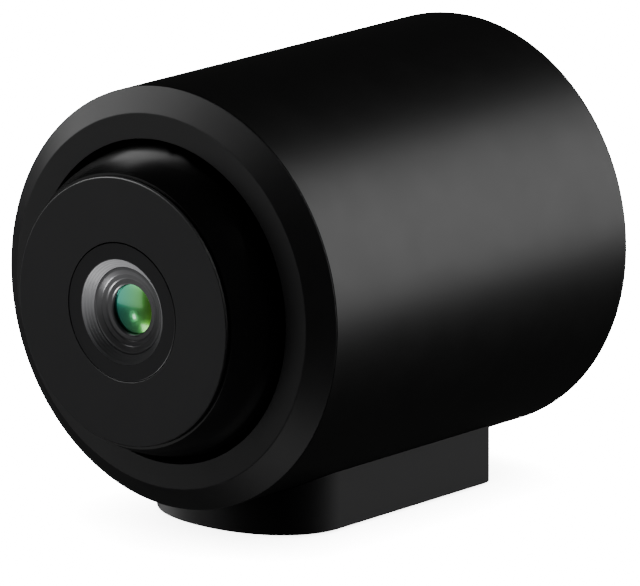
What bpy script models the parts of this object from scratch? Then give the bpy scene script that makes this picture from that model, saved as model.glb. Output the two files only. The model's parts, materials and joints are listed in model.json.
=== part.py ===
"""A short cylindrical dash camera: a barrel on a block foot, with a tilting ball-shaped lens head.

Frame: the front faces -Y and +Z is up. The origin is the middle of the adhesive pad's
lower face. Most pieces are placed from the barrel's front rim, measured back along +Y.
"""

import math

import bmesh
import bpy
from mathutils import Vector

MM = 0.001

# Gaps between pieces
FIT_GAP = 0.3 * MM
SMALL_GAP = 0.2 * MM
RUNNING_GAP = 0.05 * MM

# Barrel
BARREL_RADIUS = 16.0 * MM
BARREL_LENGTH = 34.4 * MM
BARREL_WALL = 1.5 * MM
BARREL_BACK_ROUND = 0.6 * MM

# Front bezel
BEZEL_DEPTH = 1.37 * MM
BEZEL_CHAMFER_WIDTH = 1.8 * MM

# Lens head: a ball with a flat front, open at the back
HEAD_RADIUS = 11.83 * MM
HEAD_WALL = 1.43 * MM
HEAD_CENTRE = 0.48 * MM
HEAD_FACE_REACH = 6.08 * MM
HEAD_REAR_REACH = 5.0 * MM
HEAD_CLEARANCE = 0.42 * MM
HEAD_FRONT_WALL = 1.2 * MM
PLATE_THICKNESS = 1.2 * MM
PLATE_RIM = 0.24 * MM
PIN_RADIUS = 1.2 * MM
CLAMP_RING_DEPTH = 5.0 * MM
FRICTION_RING_WIDTH = 1.0 * MM

# Lens, measured from the head's flat face
LENS_RADIUS = 5.2 * MM
LENS_THREAD_STEP = 0.3 * MM
LENS_LENGTH = 10.0 * MM
LENS_FRONT_SLEEVE = 4.6 * MM
LENS_MOUTH_RADIUS = 3.96 * MM
LENS_BORE_RADIUS = 3.3 * MM
LENS_FUNNEL_DEPTH = 0.65 * MM
LENS_FRONT_BORE_DEPTH = 3.4 * MM
LENS_REAR_BORE_RADIUS = 2.6 * MM
RING_DEPTH = 0.65 * MM
RING_STEP = 0.4 * MM
GLASS_RADIUS = 1.95 * MM
FRONT_GLASS_DOME = 0.8 * MM
GLASS_EDGE = 1.1 * MM
SPACER_LENGTH = 1.0 * MM
HOLDER_FLANGE = 1.0 * MM
HOLDER_WALL = 1.4 * MM
SENSOR_WIDTH = 7.0 * MM
SENSOR_HEIGHT = 5.0 * MM
SENSOR_THICKNESS = 0.7 * MM
FILTER_THICKNESS = 0.3 * MM
SENSOR_BOARD_RADIUS = 8.0 * MM
BOARD_THICKNESS = 1.0 * MM

# Foot
BASE_WIDTH = 16.4 * MM
BASE_LENGTH = 24.0 * MM
BASE_SETBACK = 3.5 * MM
BASE_DROP = 2.3 * MM
BASE_NOSE_LENGTH = 6.2 * MM
BASE_NOSE_POWER = 2.15
BASE_SCREW_PITCH = 10.5 * MM
PAD_THICKNESS = 0.4 * MM
PAD_PROUD = 0.2 * MM
PAD_MARGIN = 1.2 * MM
MAGNET_RADIUS = 3.0 * MM
MAGNET_THICKNESS = 0.7 * MM

# Rear cover and what comes through it; each place is (x, z) from the barrel's axis
COVER_THICKNESS = 2.4 * MM
COVER_RECESS = 0.3 * MM
COVER_EDGE_CHAMFER = 0.4 * MM
SEAL_RADIUS = 0.35 * MM
COVER_SCREW_INSET = 3.3 * MM
COVER_SCREW_ANGLES = (90.0, 210.0, 330.0)
BOSS_RADIUS = 1.8 * MM
BOSS_LENGTH = 3.0 * MM
CONTROL_HEIGHT = 7.0 * MM
CONTROL_SPREAD = 5.6 * MM
POWER_BUTTON_RADIUS = 2.2 * MM
RESET_BUTTON_RADIUS = 1.2 * MM
BUTTON_FLANGE = 0.8 * MM
BUTTON_FLANGE_THICKNESS = 0.5 * MM
BUTTON_PROUD = 0.4 * MM
BUTTON_TRAVEL = 0.4 * MM
LIGHT_PIPE_RADIUS = 0.75 * MM
MICROPHONE_WIDTH = 1.8 * MM
MICROPHONE_OFFSET = 2.5 * MM
MICROPHONE_HOLE_RADIUS = 0.5 * MM
SPEAKER_RADIUS = 3.6 * MM
SPEAKER_THICKNESS = 1.8 * MM
SPEAKER_DROP = 7.0 * MM
GRILLE_HOLE_RADIUS = 0.45 * MM
GRILLE_PITCH = 1.7 * MM
GRILLE_HOLES = 6

# Screws
SCREW_RADIUS = 0.7 * MM
SCREW_HEAD_RADIUS = 1.5 * MM
SCREW_HEAD_HEIGHT = 0.6 * MM
SMALL_SCREW_RADIUS = 0.4 * MM
SMALL_SCREW_HEAD_RADIUS = 0.6 * MM
SOCKET_RADIUS_SHARE = 0.45
SOCKET_DEPTH_SHARE = 0.6
SMALL_SCREW_HEAD_HEIGHT = 0.4 * MM
COVER_SCREW_LENGTH = 3.6 * MM
CLAMP_SCREW_BITE = 0.4 * MM
CLAMP_SCREW_ANGLES = (90.0, 210.0, 330.0)

# Electronics
MAIN_BOARD_WIDTH = 24.0 * MM
BATTERY_WIDTH = 16.0 * MM
BATTERY_HEIGHT = 5.9 * MM
BATTERY_LENGTH = 17.5 * MM
BATTERY_DROP = 3.6 * MM
HEAD_SWING_ROOM = 1.4 * MM
HEAD_REACH_ANGLE = math.radians(45)
TRAY_WALL = 0.8 * MM
TRAY_EAR = 2.4 * MM
USB_WIDTH = 9.0 * MM
USB_HEIGHT = 3.2 * MM
USB_LENGTH = 7.3 * MM
USB_WALL = 0.3 * MM
USB_TONGUE_WIDTH = 6.7 * MM
USB_TONGUE_THICKNESS = 0.7 * MM
USB_TONGUE_ROOT = 1.2 * MM
CARD_WIDTH = 11.0 * MM
CARD_LENGTH = 15.0 * MM
CARD_THICKNESS = 0.7 * MM
CARD_PROUD = 0.5 * MM
CARD_UNLATCH = 0.6 * MM
CARD_SOCKET_WALL = 0.4 * MM
CHIP_THICKNESS = 1.1 * MM
PROCESSOR_WIDTH = 8.0 * MM
MEMORY_CHIP_WIDTH = 5.0 * MM
WIRELESS_WIDTH = 6.0 * MM
WIRELESS_HEIGHT = 1.6 * MM
THERMAL_PAD_THICKNESS = 0.4 * MM
HEAT_SINK_HEIGHT = 3.4 * MM
HEAT_SINK_BASE = 1.0 * MM
HEAT_SINK_FINS = 4
HEAT_SINK_FIN_WIDTH = 0.9 * MM
FLEX_WIDTH = 7.0 * MM
FLEX_THICKNESS = 0.2 * MM
FLEX_RISE_SHARE = 0.6
FLEX_CONNECTOR_WIDTH = 9.0 * MM
FLEX_CONNECTOR_DEPTH = 2.0 * MM
FLEX_CONNECTOR_HEIGHT = 1.1 * MM
CONNECTOR_SETBACK = 3.5 * MM
BUTTON_BOARD_HEIGHT = 4.6 * MM
BUTTON_BOARD_THICKNESS = 0.8 * MM
SWITCH_WIDTH = 3.0 * MM
SWITCH_DEPTH = 1.2 * MM
SWITCH_NUB_RADIUS = 0.7 * MM
SWITCH_NUB_LENGTH = 0.3 * MM

# How finely round shapes are divided
LARGE_ROUND = 40
MIDDLE_ROUND = 20
SMALL_ROUND = 12
SCREW_ROUND = 10

# Worked out from the sizes above
BARREL_BORE = BARREL_RADIUS - BARREL_WALL
AXIS_HEIGHT = BARREL_RADIUS + BASE_DROP + PAD_PROUD
RIM_Y = -BASE_SETBACK - BASE_LENGTH / 2
OPENING_RADIUS = HEAD_RADIUS + HEAD_CLEARANCE
HEAD_BORE = HEAD_RADIUS - HEAD_WALL
FACE_Y = -HEAD_FACE_REACH
SHELL_WALL_FRONT = FACE_Y + PLATE_THICKNESS + FIT_GAP
SHELL_WALL_BACK = SHELL_WALL_FRONT + HEAD_FRONT_WALL
LENS_HOLE_RADIUS = LENS_RADIUS + FIT_GAP
CLAMP_OUTER_RADIUS = BARREL_BORE - FIT_GAP
SPLIT_FRONT = HEAD_CENTRE - FIT_GAP / 2
SPLIT_BACK = HEAD_CENTRE + FIT_GAP / 2
COVER_BACK = BARREL_LENGTH - COVER_RECESS
COVER_FRONT = COVER_BACK - COVER_THICKNESS
COVER_RADIUS = BARREL_BORE - FIT_GAP
BOSS_BACK = COVER_FRONT - FIT_GAP
COVER_SCREW_CIRCLE = BARREL_BORE - COVER_SCREW_INSET
ELECTRONICS_FRONT = HEAD_CENTRE + HEAD_RADIUS * math.cos(HEAD_REACH_ANGLE) + HEAD_SWING_ROOM
BOARD_TOP = BOARD_THICKNESS / 2
CONNECTOR_FRONT = ELECTRONICS_FRONT + CONNECTOR_SETBACK
TRAY_FOOT_RADIUS = 2 * SCREW_RADIUS + 2 * SMALL_GAP


def surface(name, colour, roughness, metallic=0.0, transmission=0.0):
    """A Principled material with one colour."""
    made = bpy.data.materials.new(name)
    made.use_nodes = True
    shader = made.node_tree.nodes["Principled BSDF"]
    shader.inputs["Base Color"].default_value = (*colour, 1.0)
    shader.inputs["Roughness"].default_value = roughness
    shader.inputs["Metallic"].default_value = metallic
    shader.inputs["Transmission Weight"].default_value = transmission
    made.diffuse_color = (*colour, 1.0)
    return made


def clear_scene():
    """Removes whatever the startup scene holds."""
    for obj in list(bpy.data.objects):
        bpy.data.objects.remove(obj, do_unlink=True)


def empty_at(name, location, parent=None):
    """A frame that other objects are placed from."""
    frame = bpy.data.objects.new(name, None)
    frame.location = location
    frame.parent = parent
    bpy.context.scene.collection.objects.link(frame)
    return frame


def add_object(name, mesh_builder, material, parent=None, place=(0.0, 0.0, 0.0)):
    """Turns a bmesh into a named object, shaded smooth between its sharp edges."""
    bmesh.ops.remove_doubles(mesh_builder, verts=mesh_builder.verts, dist=1e-6)
    bmesh.ops.recalc_face_normals(mesh_builder, faces=mesh_builder.faces)
    mesh = bpy.data.meshes.new(name)
    mesh_builder.to_mesh(mesh)
    mesh_builder.free()
    mesh.shade_smooth()
    mesh.set_sharp_from_angle(angle=math.radians(35))
    if material is not None:
        mesh.materials.append(material)
    made = bpy.data.objects.new(name, mesh)
    made.parent = parent
    made.location = place
    bpy.context.scene.collection.objects.link(made)
    return made


def turned(name, profile, material, parent=None, place=(0.0, 0.0, 0.0), steps=MIDDLE_ROUND, axis="Y"):
    """A solid of revolution. The closed profile lists (radius, distance along the axis)."""
    build = bmesh.new()
    if axis == "Y":
        points = [(radius, along, 0.0) for radius, along in profile]
        direction = (0.0, 1.0, 0.0)
    elif axis == "X":
        points = [(along, radius, 0.0) for radius, along in profile]
        direction = (1.0, 0.0, 0.0)
    else:
        points = [(radius, 0.0, along) for radius, along in profile]
        direction = (0.0, 0.0, 1.0)
    ring = [build.verts.new(point) for point in points]
    edges = []
    for index, vertex in enumerate(ring):
        following = ring[(index + 1) % len(ring)]
        on_axis = profile[index][0] < 1e-9 and profile[(index + 1) % len(ring)][0] < 1e-9
        if not on_axis:
            edges.append(build.edges.new((vertex, following)))
    bmesh.ops.spin(
        build,
        geom=ring + edges,
        cent=(0.0, 0.0, 0.0),
        axis=direction,
        angle=2 * math.pi,
        steps=steps,
        use_merge=True,
    )
    return add_object(name, build, material, parent, place)


def cylinder(
    name, radius, start, end, material, parent=None, place=(0.0, 0.0, 0.0), steps=SMALL_ROUND, axis="Y",
):
    """A plain round bar along an axis."""
    profile = [(0.0, start), (radius, start), (radius, end), (0.0, end)]
    return turned(name, profile, material, parent, place, steps, axis)


def prism(name, outline, start, end, material, parent=None, place=(0.0, 0.0, 0.0), axis="Y"):
    """An outline pushed along an axis: (x, z) outlines along Y, or (x, y) outlines along Z."""
    build = bmesh.new()
    if axis == "Y":
        corners = [build.verts.new((x, start, z)) for x, z in outline]
        push = Vector((0.0, end - start, 0.0))
    elif axis == "X":
        corners = [build.verts.new((start, y, z)) for y, z in outline]
        push = Vector((end - start, 0.0, 0.0))
    else:
        corners = [build.verts.new((x, y, start)) for x, y in outline]
        push = Vector((0.0, 0.0, end - start))
    face = build.faces.new(corners)
    grown = bmesh.ops.extrude_face_region(build, geom=[face])
    moved = [item for item in grown["geom"] if isinstance(item, bmesh.types.BMVert)]
    bmesh.ops.translate(build, verts=moved, vec=push)
    return add_object(name, build, material, parent, place)


def rectangle(width, height, x=0.0, z=0.0):
    """The four corners of a rectangle about (x, z)."""
    half_width = width / 2
    half_height = height / 2
    return [
        (x - half_width, z - half_height),
        (x + half_width, z - half_height),
        (x + half_width, z + half_height),
        (x - half_width, z + half_height),
    ]


def round_ended(width, height, x=0.0, z=0.0, steps=8):
    """A rectangle whose two short ends are half circles."""
    radius = height / 2
    reach = width / 2 - radius
    points = []
    for side in (1, -1):
        for step in range(steps + 1):
            angle = -math.pi / 2 + math.pi * step / steps
            points.append(
                (x + side * (reach + radius * math.cos(angle)), z + side * radius * math.sin(angle)),
            )
    return points


def block(name, width, low_y, high_y, low_z, high_z, material, parent=None, x=0.0):
    """A box given by its width about x and its ranges in Y and Z."""
    outline = rectangle(width, high_z - low_z, x, (low_z + high_z) / 2)
    return prism(name, outline, low_y, high_y, material, parent)


def boolean(target, tools, operation):
    """Cuts tools out of an object, or joins them to it, in one step, and hides the tools."""
    group = bpy.data.collections.new(f"{target.name}_{operation.lower()}_{len(target.modifiers)}")
    for tool in tools:
        tool.hide_render = True
        tool.display_type = "WIRE"
        group.objects.link(tool)
    step = target.modifiers.new(group.name, "BOOLEAN")
    step.operation = operation
    step.operand_type = "COLLECTION"
    step.collection = group
    step.solver = "EXACT"


def cut(target, *tools):
    """Takes the tools' shapes out of an object."""
    boolean(target, tools, "DIFFERENCE")


def join(target, *tools):
    """Adds the tools' shapes to an object, as one body."""
    boolean(target, tools, "UNION")


def stepped_hole(name, radius, seat_radius, start, seat, end, parent, place, axis="Y"):
    """A cutter for a screw: a narrow hole from start to the seat, and a wide one on to the end."""
    profile = [
        (0.0, start),
        (radius, start),
        (radius, seat),
        (seat_radius, seat),
        (seat_radius, end),
        (0.0, end),
    ]
    return turned(name, profile, None, parent, place, SMALL_ROUND, axis)


def arc(radius, start_degrees, end_degrees, steps, centre=(0.0, 0.0)):
    """Points on a circle about a centre, as (radius, along) pairs."""
    points = []
    for step in range(steps + 1):
        angle = math.radians(start_degrees + (end_degrees - start_degrees) * step / steps)
        points.append((centre[0] + radius * math.cos(angle), centre[1] + radius * math.sin(angle)))
    return points


def ball_arc(radius, start, end, steps):
    """Points on a ball about the head's centre, from one distance along the axis to another."""
    first = math.degrees(math.asin(start / radius))
    last = math.degrees(math.asin(end / radius))
    return arc(radius, first, last, steps)


def ball_width(radius, along):
    """How far a ball's surface stands from the axis at a distance from its centre."""
    return math.sqrt(radius**2 - along**2)


def on_circle(radius, degrees):
    """The (x, z) of a place on a circle about the barrel's axis."""
    angle = math.radians(degrees)
    return radius * math.cos(angle), radius * math.sin(angle)


def screw(name, radius, head_radius, head_height, length, material, parent, place, facing, axis="Y"):
    """A screw with a round head and a socket. facing is +1 when its head looks along the axis."""
    socket_radius = SOCKET_RADIUS_SHARE * head_radius
    socket_depth = SOCKET_DEPTH_SHARE * head_height
    profile = [
        (0.0, -facing * length),
        (radius, -facing * length),
        (radius, 0.0),
        (head_radius, 0.0),
        (head_radius, facing * head_height),
        (socket_radius, facing * head_height),
        (socket_radius, facing * (head_height - socket_depth)),
        (0.0, facing * (head_height - socket_depth)),
    ]
    return turned(name, profile, material, parent, place, SCREW_ROUND, axis)


def make_barrel(axis_frame, finish):
    """The cylindrical housing, with the bosses that the rear cover screws into."""
    edge_centre = (BARREL_RADIUS - BARREL_BACK_ROUND, BARREL_LENGTH - BARREL_BACK_ROUND)
    profile = [
        (BARREL_BORE, FIT_GAP),
        (BARREL_RADIUS, FIT_GAP),
        *arc(BARREL_BACK_ROUND, 0, 90, 3, edge_centre),
        (BARREL_BORE, BARREL_LENGTH),
    ]
    barrel = turned("barrel_housing", profile, finish, axis_frame, steps=LARGE_ROUND)
    into_wall = BARREL_BORE + BARREL_WALL / 2
    bosses = []
    holes = []
    for number, degrees in enumerate(COVER_SCREW_ANGLES, 1):
        outline = [
            (into_wall, -BOSS_RADIUS),
            (into_wall, BOSS_RADIUS),
            *arc(BOSS_RADIUS, 90, 270, 8, (COVER_SCREW_CIRCLE, 0.0)),
        ]
        angle = math.radians(degrees)
        turned_outline = [
            (x * math.cos(angle) - z * math.sin(angle), x * math.sin(angle) + z * math.cos(angle))
            for x, z in outline
        ]
        boss = prism(f"boss_{number}", turned_outline, BOSS_BACK - BOSS_LENGTH, BOSS_BACK, None, axis_frame)
        bosses.append(boss)
        x, z = on_circle(COVER_SCREW_CIRCLE, degrees)
        hole = cylinder(
            f"boss_hole_{number}", SCREW_RADIUS + SMALL_GAP, BOSS_BACK - COVER_SCREW_LENGTH,
            BOSS_BACK + FIT_GAP,
            None, axis_frame, (x, 0.0, z),
        )
        holes.append(hole)
    for number, y in enumerate(base_screw_places(), 1):
        hole = cylinder(
            f"barrel_screw_hole_{number}", SCREW_RADIUS + SMALL_GAP, -BARREL_RADIUS - FIT_GAP,
            -BARREL_BORE + FIT_GAP, None, axis_frame, (0.0, y - RIM_Y, 0.0), axis="Z",
        )
        holes.append(hole)
    join(barrel, *bosses)
    cut(barrel, *holes)


def base_screw_places():
    """The two screws of the foot, along Y from the origin. The first is under the tray's front end."""
    first = RIM_Y + ELECTRONICS_FRONT + TRAY_FOOT_RADIUS
    return first, first + BASE_SCREW_PITCH


def pin_slot(name, radius, axis_frame, side):
    """A cutter round a pivot pin, from the ball's opening out to the clamp ring's edge."""
    start = side * (HEAD_RADIUS - HEAD_WALL)
    end = side * (CLAMP_OUTER_RADIUS - SMALL_GAP)
    return cylinder(
        name, radius, min(start, end), max(start, end), None, axis_frame, (0.0, HEAD_CENTRE, 0.0),
        MIDDLE_ROUND, "X",
    )


def make_front(axis_frame, bezel_finish, inner_finish, screw_finish, rubber):
    """The bezel, and behind it the ring that clamps the pivot pins."""
    bezel_profile = [
        (OPENING_RADIUS, SPLIT_FRONT),
        (OPENING_RADIUS, -BEZEL_DEPTH),
        (BARREL_RADIUS - BEZEL_CHAMFER_WIDTH, -BEZEL_DEPTH),
        (BARREL_RADIUS, 0.0),
        (CLAMP_OUTER_RADIUS, 0.0),
        (CLAMP_OUTER_RADIUS, SPLIT_FRONT),
    ]
    bezel = turned("front_bezel", bezel_profile, bezel_finish, axis_frame, steps=LARGE_ROUND)

    ring_centre = SPLIT_BACK + CLAMP_RING_DEPTH - 1.4 * FRICTION_RING_WIDTH
    groove = FRICTION_RING_WIDTH / 2 + FIT_GAP
    ring_along = ring_centre - HEAD_CENTRE
    touching = HEAD_RADIUS + FIT_GAP + FRICTION_RING_WIDTH / 2
    ring_radius = ball_width(touching, ring_along)
    lip_radius = ball_width(HEAD_RADIUS, ring_along + groove) + 2 * FIT_GAP
    clamp_profile = [
        (OPENING_RADIUS + SMALL_GAP, SPLIT_BACK),
        (CLAMP_OUTER_RADIUS, SPLIT_BACK),
        (CLAMP_OUTER_RADIUS, SPLIT_BACK + CLAMP_RING_DEPTH),
        (lip_radius, SPLIT_BACK + CLAMP_RING_DEPTH),
        (lip_radius, ring_centre + groove),
        (ring_radius + groove, ring_centre + groove),
        (ring_radius + groove, ring_centre - groove),
        (OPENING_RADIUS + SMALL_GAP, ring_centre - groove),
    ]
    clamp = turned("pivot_clamp_ring", clamp_profile, inner_finish, axis_frame, steps=LARGE_ROUND)
    rubber_profile = arc(FRICTION_RING_WIDTH / 2, 0, 300, 5, (ring_radius, ring_centre))
    turned("head_friction_ring", rubber_profile, rubber, axis_frame, steps=LARGE_ROUND)

    slots = [pin_slot(f"pin_slot_{side}", PIN_RADIUS + RUNNING_GAP, axis_frame, side) for side in (-1, 1)]
    bezel_holes = []
    clamp_holes = []
    circle = (OPENING_RADIUS + SMALL_GAP + CLAMP_OUTER_RADIUS) / 2
    head_seat = ring_centre - groove - SMALL_GAP
    seat_depth = SPLIT_BACK + CLAMP_RING_DEPTH
    for number, degrees in enumerate(CLAMP_SCREW_ANGLES, 1):
        x, z = on_circle(circle, degrees)
        place = (x, 0.0, z)
        hole_radius = SMALL_SCREW_RADIUS + RUNNING_GAP
        thread = cylinder(
            f"bezel_hole_{number}", hole_radius, SPLIT_FRONT - CLAMP_SCREW_BITE - SMALL_GAP, SPLIT_BACK, None,
            axis_frame, place,
        )
        bezel_holes.append(thread)
        through = stepped_hole(
            f"clamp_hole_{number}", hole_radius, SMALL_SCREW_HEAD_RADIUS + SMALL_GAP, SPLIT_FRONT,
            head_seat - 2 * FIT_GAP, seat_depth + FIT_GAP, axis_frame, place,
        )
        clamp_holes.append(through)
        head_start = head_seat - 2 * FIT_GAP + RUNNING_GAP
        screw(
            f"clamp_screw_{number}", SMALL_SCREW_RADIUS, SMALL_SCREW_HEAD_RADIUS, SMALL_SCREW_HEAD_HEIGHT,
            head_start - SPLIT_FRONT + CLAMP_SCREW_BITE, screw_finish, axis_frame, (x, head_start, z), 1,
        )
    cut(bezel, *slots, *bezel_holes)
    cut(clamp, *slots, *clamp_holes)


def make_head(head_pivot, shell_finish, plate_finish, screw_finish, pin_finish):
    """The ball-shaped shell, its front plate and its two pivot pins."""
    plate_recess = ball_width(HEAD_RADIUS, FACE_Y) - PLATE_RIM
    shell_profile = [
        (LENS_HOLE_RADIUS, SHELL_WALL_FRONT),
        (plate_recess, SHELL_WALL_FRONT),
        (plate_recess, FACE_Y),
        *ball_arc(HEAD_RADIUS, FACE_Y, HEAD_REAR_REACH, 8),
        *ball_arc(HEAD_BORE, HEAD_REAR_REACH, SHELL_WALL_BACK, 4),
        (LENS_HOLE_RADIUS, SHELL_WALL_BACK),
    ]
    shell = turned("head_shell", shell_profile, shell_finish, head_pivot, steps=LARGE_ROUND)
    plate_profile = [
        (LENS_HOLE_RADIUS, FACE_Y),
        (plate_recess - FIT_GAP, FACE_Y),
        (plate_recess - FIT_GAP, FACE_Y + PLATE_THICKNESS),
        (LENS_HOLE_RADIUS, FACE_Y + PLATE_THICKNESS),
    ]
    turned("front_plate", plate_profile, plate_finish, head_pivot, steps=LARGE_ROUND)

    pin_end = CLAMP_OUTER_RADIUS - 2 * SMALL_GAP
    pin_start = HEAD_BORE
    hole_start = HEAD_BORE - HEAD_WALL
    hole_end = HEAD_RADIUS + HEAD_CLEARANCE
    pin_holes = []
    for side, label in ((-1, "left"), (1, "right")):
        hole = cylinder(
            f"pin_hole_{label}", PIN_RADIUS + SMALL_GAP, min(side * hole_start, side * hole_end),
            max(side * hole_start, side * hole_end), None, head_pivot, steps=MIDDLE_ROUND, axis="X",
        )
        pin_holes.append(hole)
        bevel = SMALL_GAP
        profile = [
            (0.0, side * pin_start),
            (PIN_RADIUS, side * pin_start),
            (PIN_RADIUS, side * (pin_end - bevel)),
            (PIN_RADIUS - bevel, side * pin_end),
            (0.0, side * pin_end),
        ]
        turned(f"pivot_pin_{label}", profile, pin_finish, head_pivot, steps=MIDDLE_ROUND, axis="X")
    screw_holes = make_holder(head_pivot, screw_finish)
    cut(shell, *pin_holes, *screw_holes)


def make_holder(head_pivot, screw_finish):
    """The holder behind the head's front wall, and the two screws that hold it. It returns their holes."""
    plastic = surface("holder_plastic", (0.02, 0.02, 0.022), 0.5)
    thread_radius = LENS_RADIUS - LENS_THREAD_STEP
    flange_front = SHELL_WALL_BACK + FIT_GAP
    flange_back = flange_front + HOLDER_FLANGE
    flange_radius = ball_width(HEAD_BORE, flange_front) - 2 * FIT_GAP
    sleeve_back = FACE_Y + LENS_FRONT_SLEEVE
    tube_bore = thread_radius + FIT_GAP
    tube_radius = LENS_RADIUS + HOLDER_WALL
    lens_end = FACE_Y + LENS_LENGTH
    pocket_front = lens_end + SMALL_GAP
    pocket_radius = SENSOR_WIDTH / 2 * math.sqrt(2) + FIT_GAP
    holder_back = pocket_front + FILTER_THICKNESS + SENSOR_THICKNESS + 2 * FIT_GAP
    profile = [
        (LENS_HOLE_RADIUS, flange_front),
        (flange_radius, flange_front),
        (flange_radius, flange_back),
        (tube_radius, flange_back),
        (tube_radius, holder_back),
        (pocket_radius, holder_back),
        (pocket_radius, pocket_front),
        (tube_bore, pocket_front),
        (tube_bore, sleeve_back + FIT_GAP),
        (LENS_HOLE_RADIUS, sleeve_back + FIT_GAP),
    ]
    holder = turned("lens_holder", profile, plastic, head_pivot, steps=MIDDLE_ROUND)
    screw_x = (tube_radius + flange_radius) / 2
    bite = HEAD_FRONT_WALL - FIT_GAP
    holes = []
    for number, side in enumerate((-1, 1), 1):
        place = (side * screw_x, 0.0, 0.0)
        hole = cylinder(
            f"holder_hole_{number}", SMALL_SCREW_RADIUS + SMALL_GAP, SHELL_WALL_BACK - bite,
            flange_back + FIT_GAP, None, head_pivot, place,
        )
        holes.append(hole)
        screw(
            f"holder_screw_{number}", SMALL_SCREW_RADIUS, SMALL_SCREW_HEAD_RADIUS, SMALL_SCREW_HEAD_HEIGHT,
            flange_back - SHELL_WALL_BACK + bite - FIT_GAP, screw_finish, head_pivot,
            (side * screw_x, flange_back + RUNNING_GAP, 0.0), 1,
        )
    cut(holder, *holes)

    glass = surface("filter_glass", (0.5, 0.75, 0.8), 0.05, transmission=0.8)
    silicon = surface("sensor_silicon", (0.05, 0.06, 0.09), 0.25, metallic=0.4)
    circuit = surface("sensor_board_green", (0.02, 0.16, 0.07), 0.45)
    filter_back = pocket_front + FILTER_THICKNESS
    sensor_front = filter_back + FIT_GAP
    block(
        "ir_filter", SENSOR_WIDTH, pocket_front, filter_back, -SENSOR_WIDTH / 2, SENSOR_WIDTH / 2, glass,
        head_pivot,
    )
    block(
        "image_sensor", SENSOR_WIDTH, sensor_front, sensor_front + SENSOR_THICKNESS, -SENSOR_HEIGHT / 2,
        SENSOR_HEIGHT / 2, silicon, head_pivot,
    )
    board_front = holder_back + FIT_GAP
    cylinder(
        "sensor_board", SENSOR_BOARD_RADIUS, board_front, board_front + BOARD_THICKNESS, circuit, head_pivot,
        steps=MIDDLE_ROUND,
    )
    return holes


def sensor_board_back():
    """How far the sensor board's rear face is behind the head's centre."""
    pocket_front = FACE_Y + LENS_LENGTH + SMALL_GAP
    return pocket_front + FILTER_THICKNESS + SENSOR_THICKNESS + 3 * FIT_GAP + BOARD_THICKNESS


def lens_element(name, radius, edge_front, edge_back, front_dome, back_dome, glass, head_pivot):
    """A round lens with a domed front and back. A negative dome is hollow."""
    profile = [(0.0, edge_front - front_dome)]
    for step in range(1, 4):
        share = step / 4
        profile.append((radius * share, edge_front - front_dome * (1 - share**2)))
    profile.append((radius, edge_front))
    profile.append((radius, edge_back))
    for step in range(3, 0, -1):
        share = step / 4
        profile.append((radius * share, edge_back + back_dome * (1 - share**2)))
    profile.append((0.0, edge_back + back_dome))
    turned(name, profile, glass, head_pivot, steps=MIDDLE_ROUND)


def make_lens(head_pivot):
    """The lens barrel, its stepped retaining ring and its glass."""
    black = surface("lens_black", (0.012, 0.012, 0.013), 0.4)
    satin = surface("lens_ring_grey", (0.1, 0.1, 0.105), 0.3, metallic=0.6)
    glass = surface("coated_glass", (0.1, 0.55, 0.4), 0.05, transmission=0.7)
    brass = surface("lens_spacer_brass", (0.5, 0.36, 0.14), 0.35, metallic=1.0)
    thread_radius = LENS_RADIUS - LENS_THREAD_STEP
    sleeve_back = FACE_Y + LENS_FRONT_SLEEVE
    funnel_back = FACE_Y + LENS_FUNNEL_DEPTH
    shoulder = FACE_Y + LENS_FRONT_BORE_DEPTH
    lens_back = FACE_Y + LENS_LENGTH
    profile = [
        (LENS_MOUTH_RADIUS, FACE_Y),
        (LENS_RADIUS, FACE_Y),
        (LENS_RADIUS, sleeve_back),
        (thread_radius, sleeve_back),
        (thread_radius, lens_back),
        (LENS_REAR_BORE_RADIUS, lens_back),
        (LENS_REAR_BORE_RADIUS, shoulder),
        (LENS_BORE_RADIUS, shoulder),
        (LENS_BORE_RADIUS, funnel_back),
    ]
    turned("lens_barrel", profile, black, head_pivot, steps=MIDDLE_ROUND)

    ring_front = funnel_back
    ring_outer = LENS_BORE_RADIUS - FIT_GAP
    ring_profile = [
        (ring_outer, ring_front),
        (ring_outer, ring_front + RING_DEPTH),
        (GLASS_RADIUS, ring_front + RING_DEPTH),
        (GLASS_RADIUS, ring_front + 2 * SMALL_GAP),
        (GLASS_RADIUS + RING_STEP, ring_front + 2 * SMALL_GAP),
        (GLASS_RADIUS + RING_STEP, ring_front + SMALL_GAP),
        (GLASS_RADIUS + 2 * RING_STEP, ring_front + SMALL_GAP),
        (GLASS_RADIUS + 2 * RING_STEP, ring_front),
    ]
    turned("lens_retaining_ring", ring_profile, satin, head_pivot, steps=MIDDLE_ROUND)

    edge_back = shoulder - FIT_GAP
    edge_front = edge_back - GLASS_EDGE
    lens_element(
        "front_lens", LENS_BORE_RADIUS - FIT_GAP, edge_front, edge_back, FRONT_GLASS_DOME, -FIT_GAP,
        glass, head_pivot
    )
    rear_radius = LENS_REAR_BORE_RADIUS - FIT_GAP
    middle_front = shoulder + FIT_GAP
    middle_back = middle_front + GLASS_EDGE
    lens_element("middle_lens", rear_radius, middle_front, middle_back, -FIT_GAP, FIT_GAP, glass, head_pivot)
    spacer_front = middle_back + FIT_GAP
    spacer_back = spacer_front + SPACER_LENGTH
    spacer_bore = rear_radius - 2 * FIT_GAP
    spacer_profile = [
        (spacer_bore, spacer_front),
        (rear_radius, spacer_front),
        (rear_radius, spacer_back),
        (spacer_bore, spacer_back),
    ]
    turned("lens_spacer", spacer_profile, brass, head_pivot, steps=MIDDLE_ROUND)
    rear_front = spacer_back + FIT_GAP
    lens_element(
        "rear_lens", rear_radius, rear_front, rear_front + GLASS_EDGE, SMALL_GAP, FIT_GAP, glass,
        head_pivot,
    )


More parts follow.
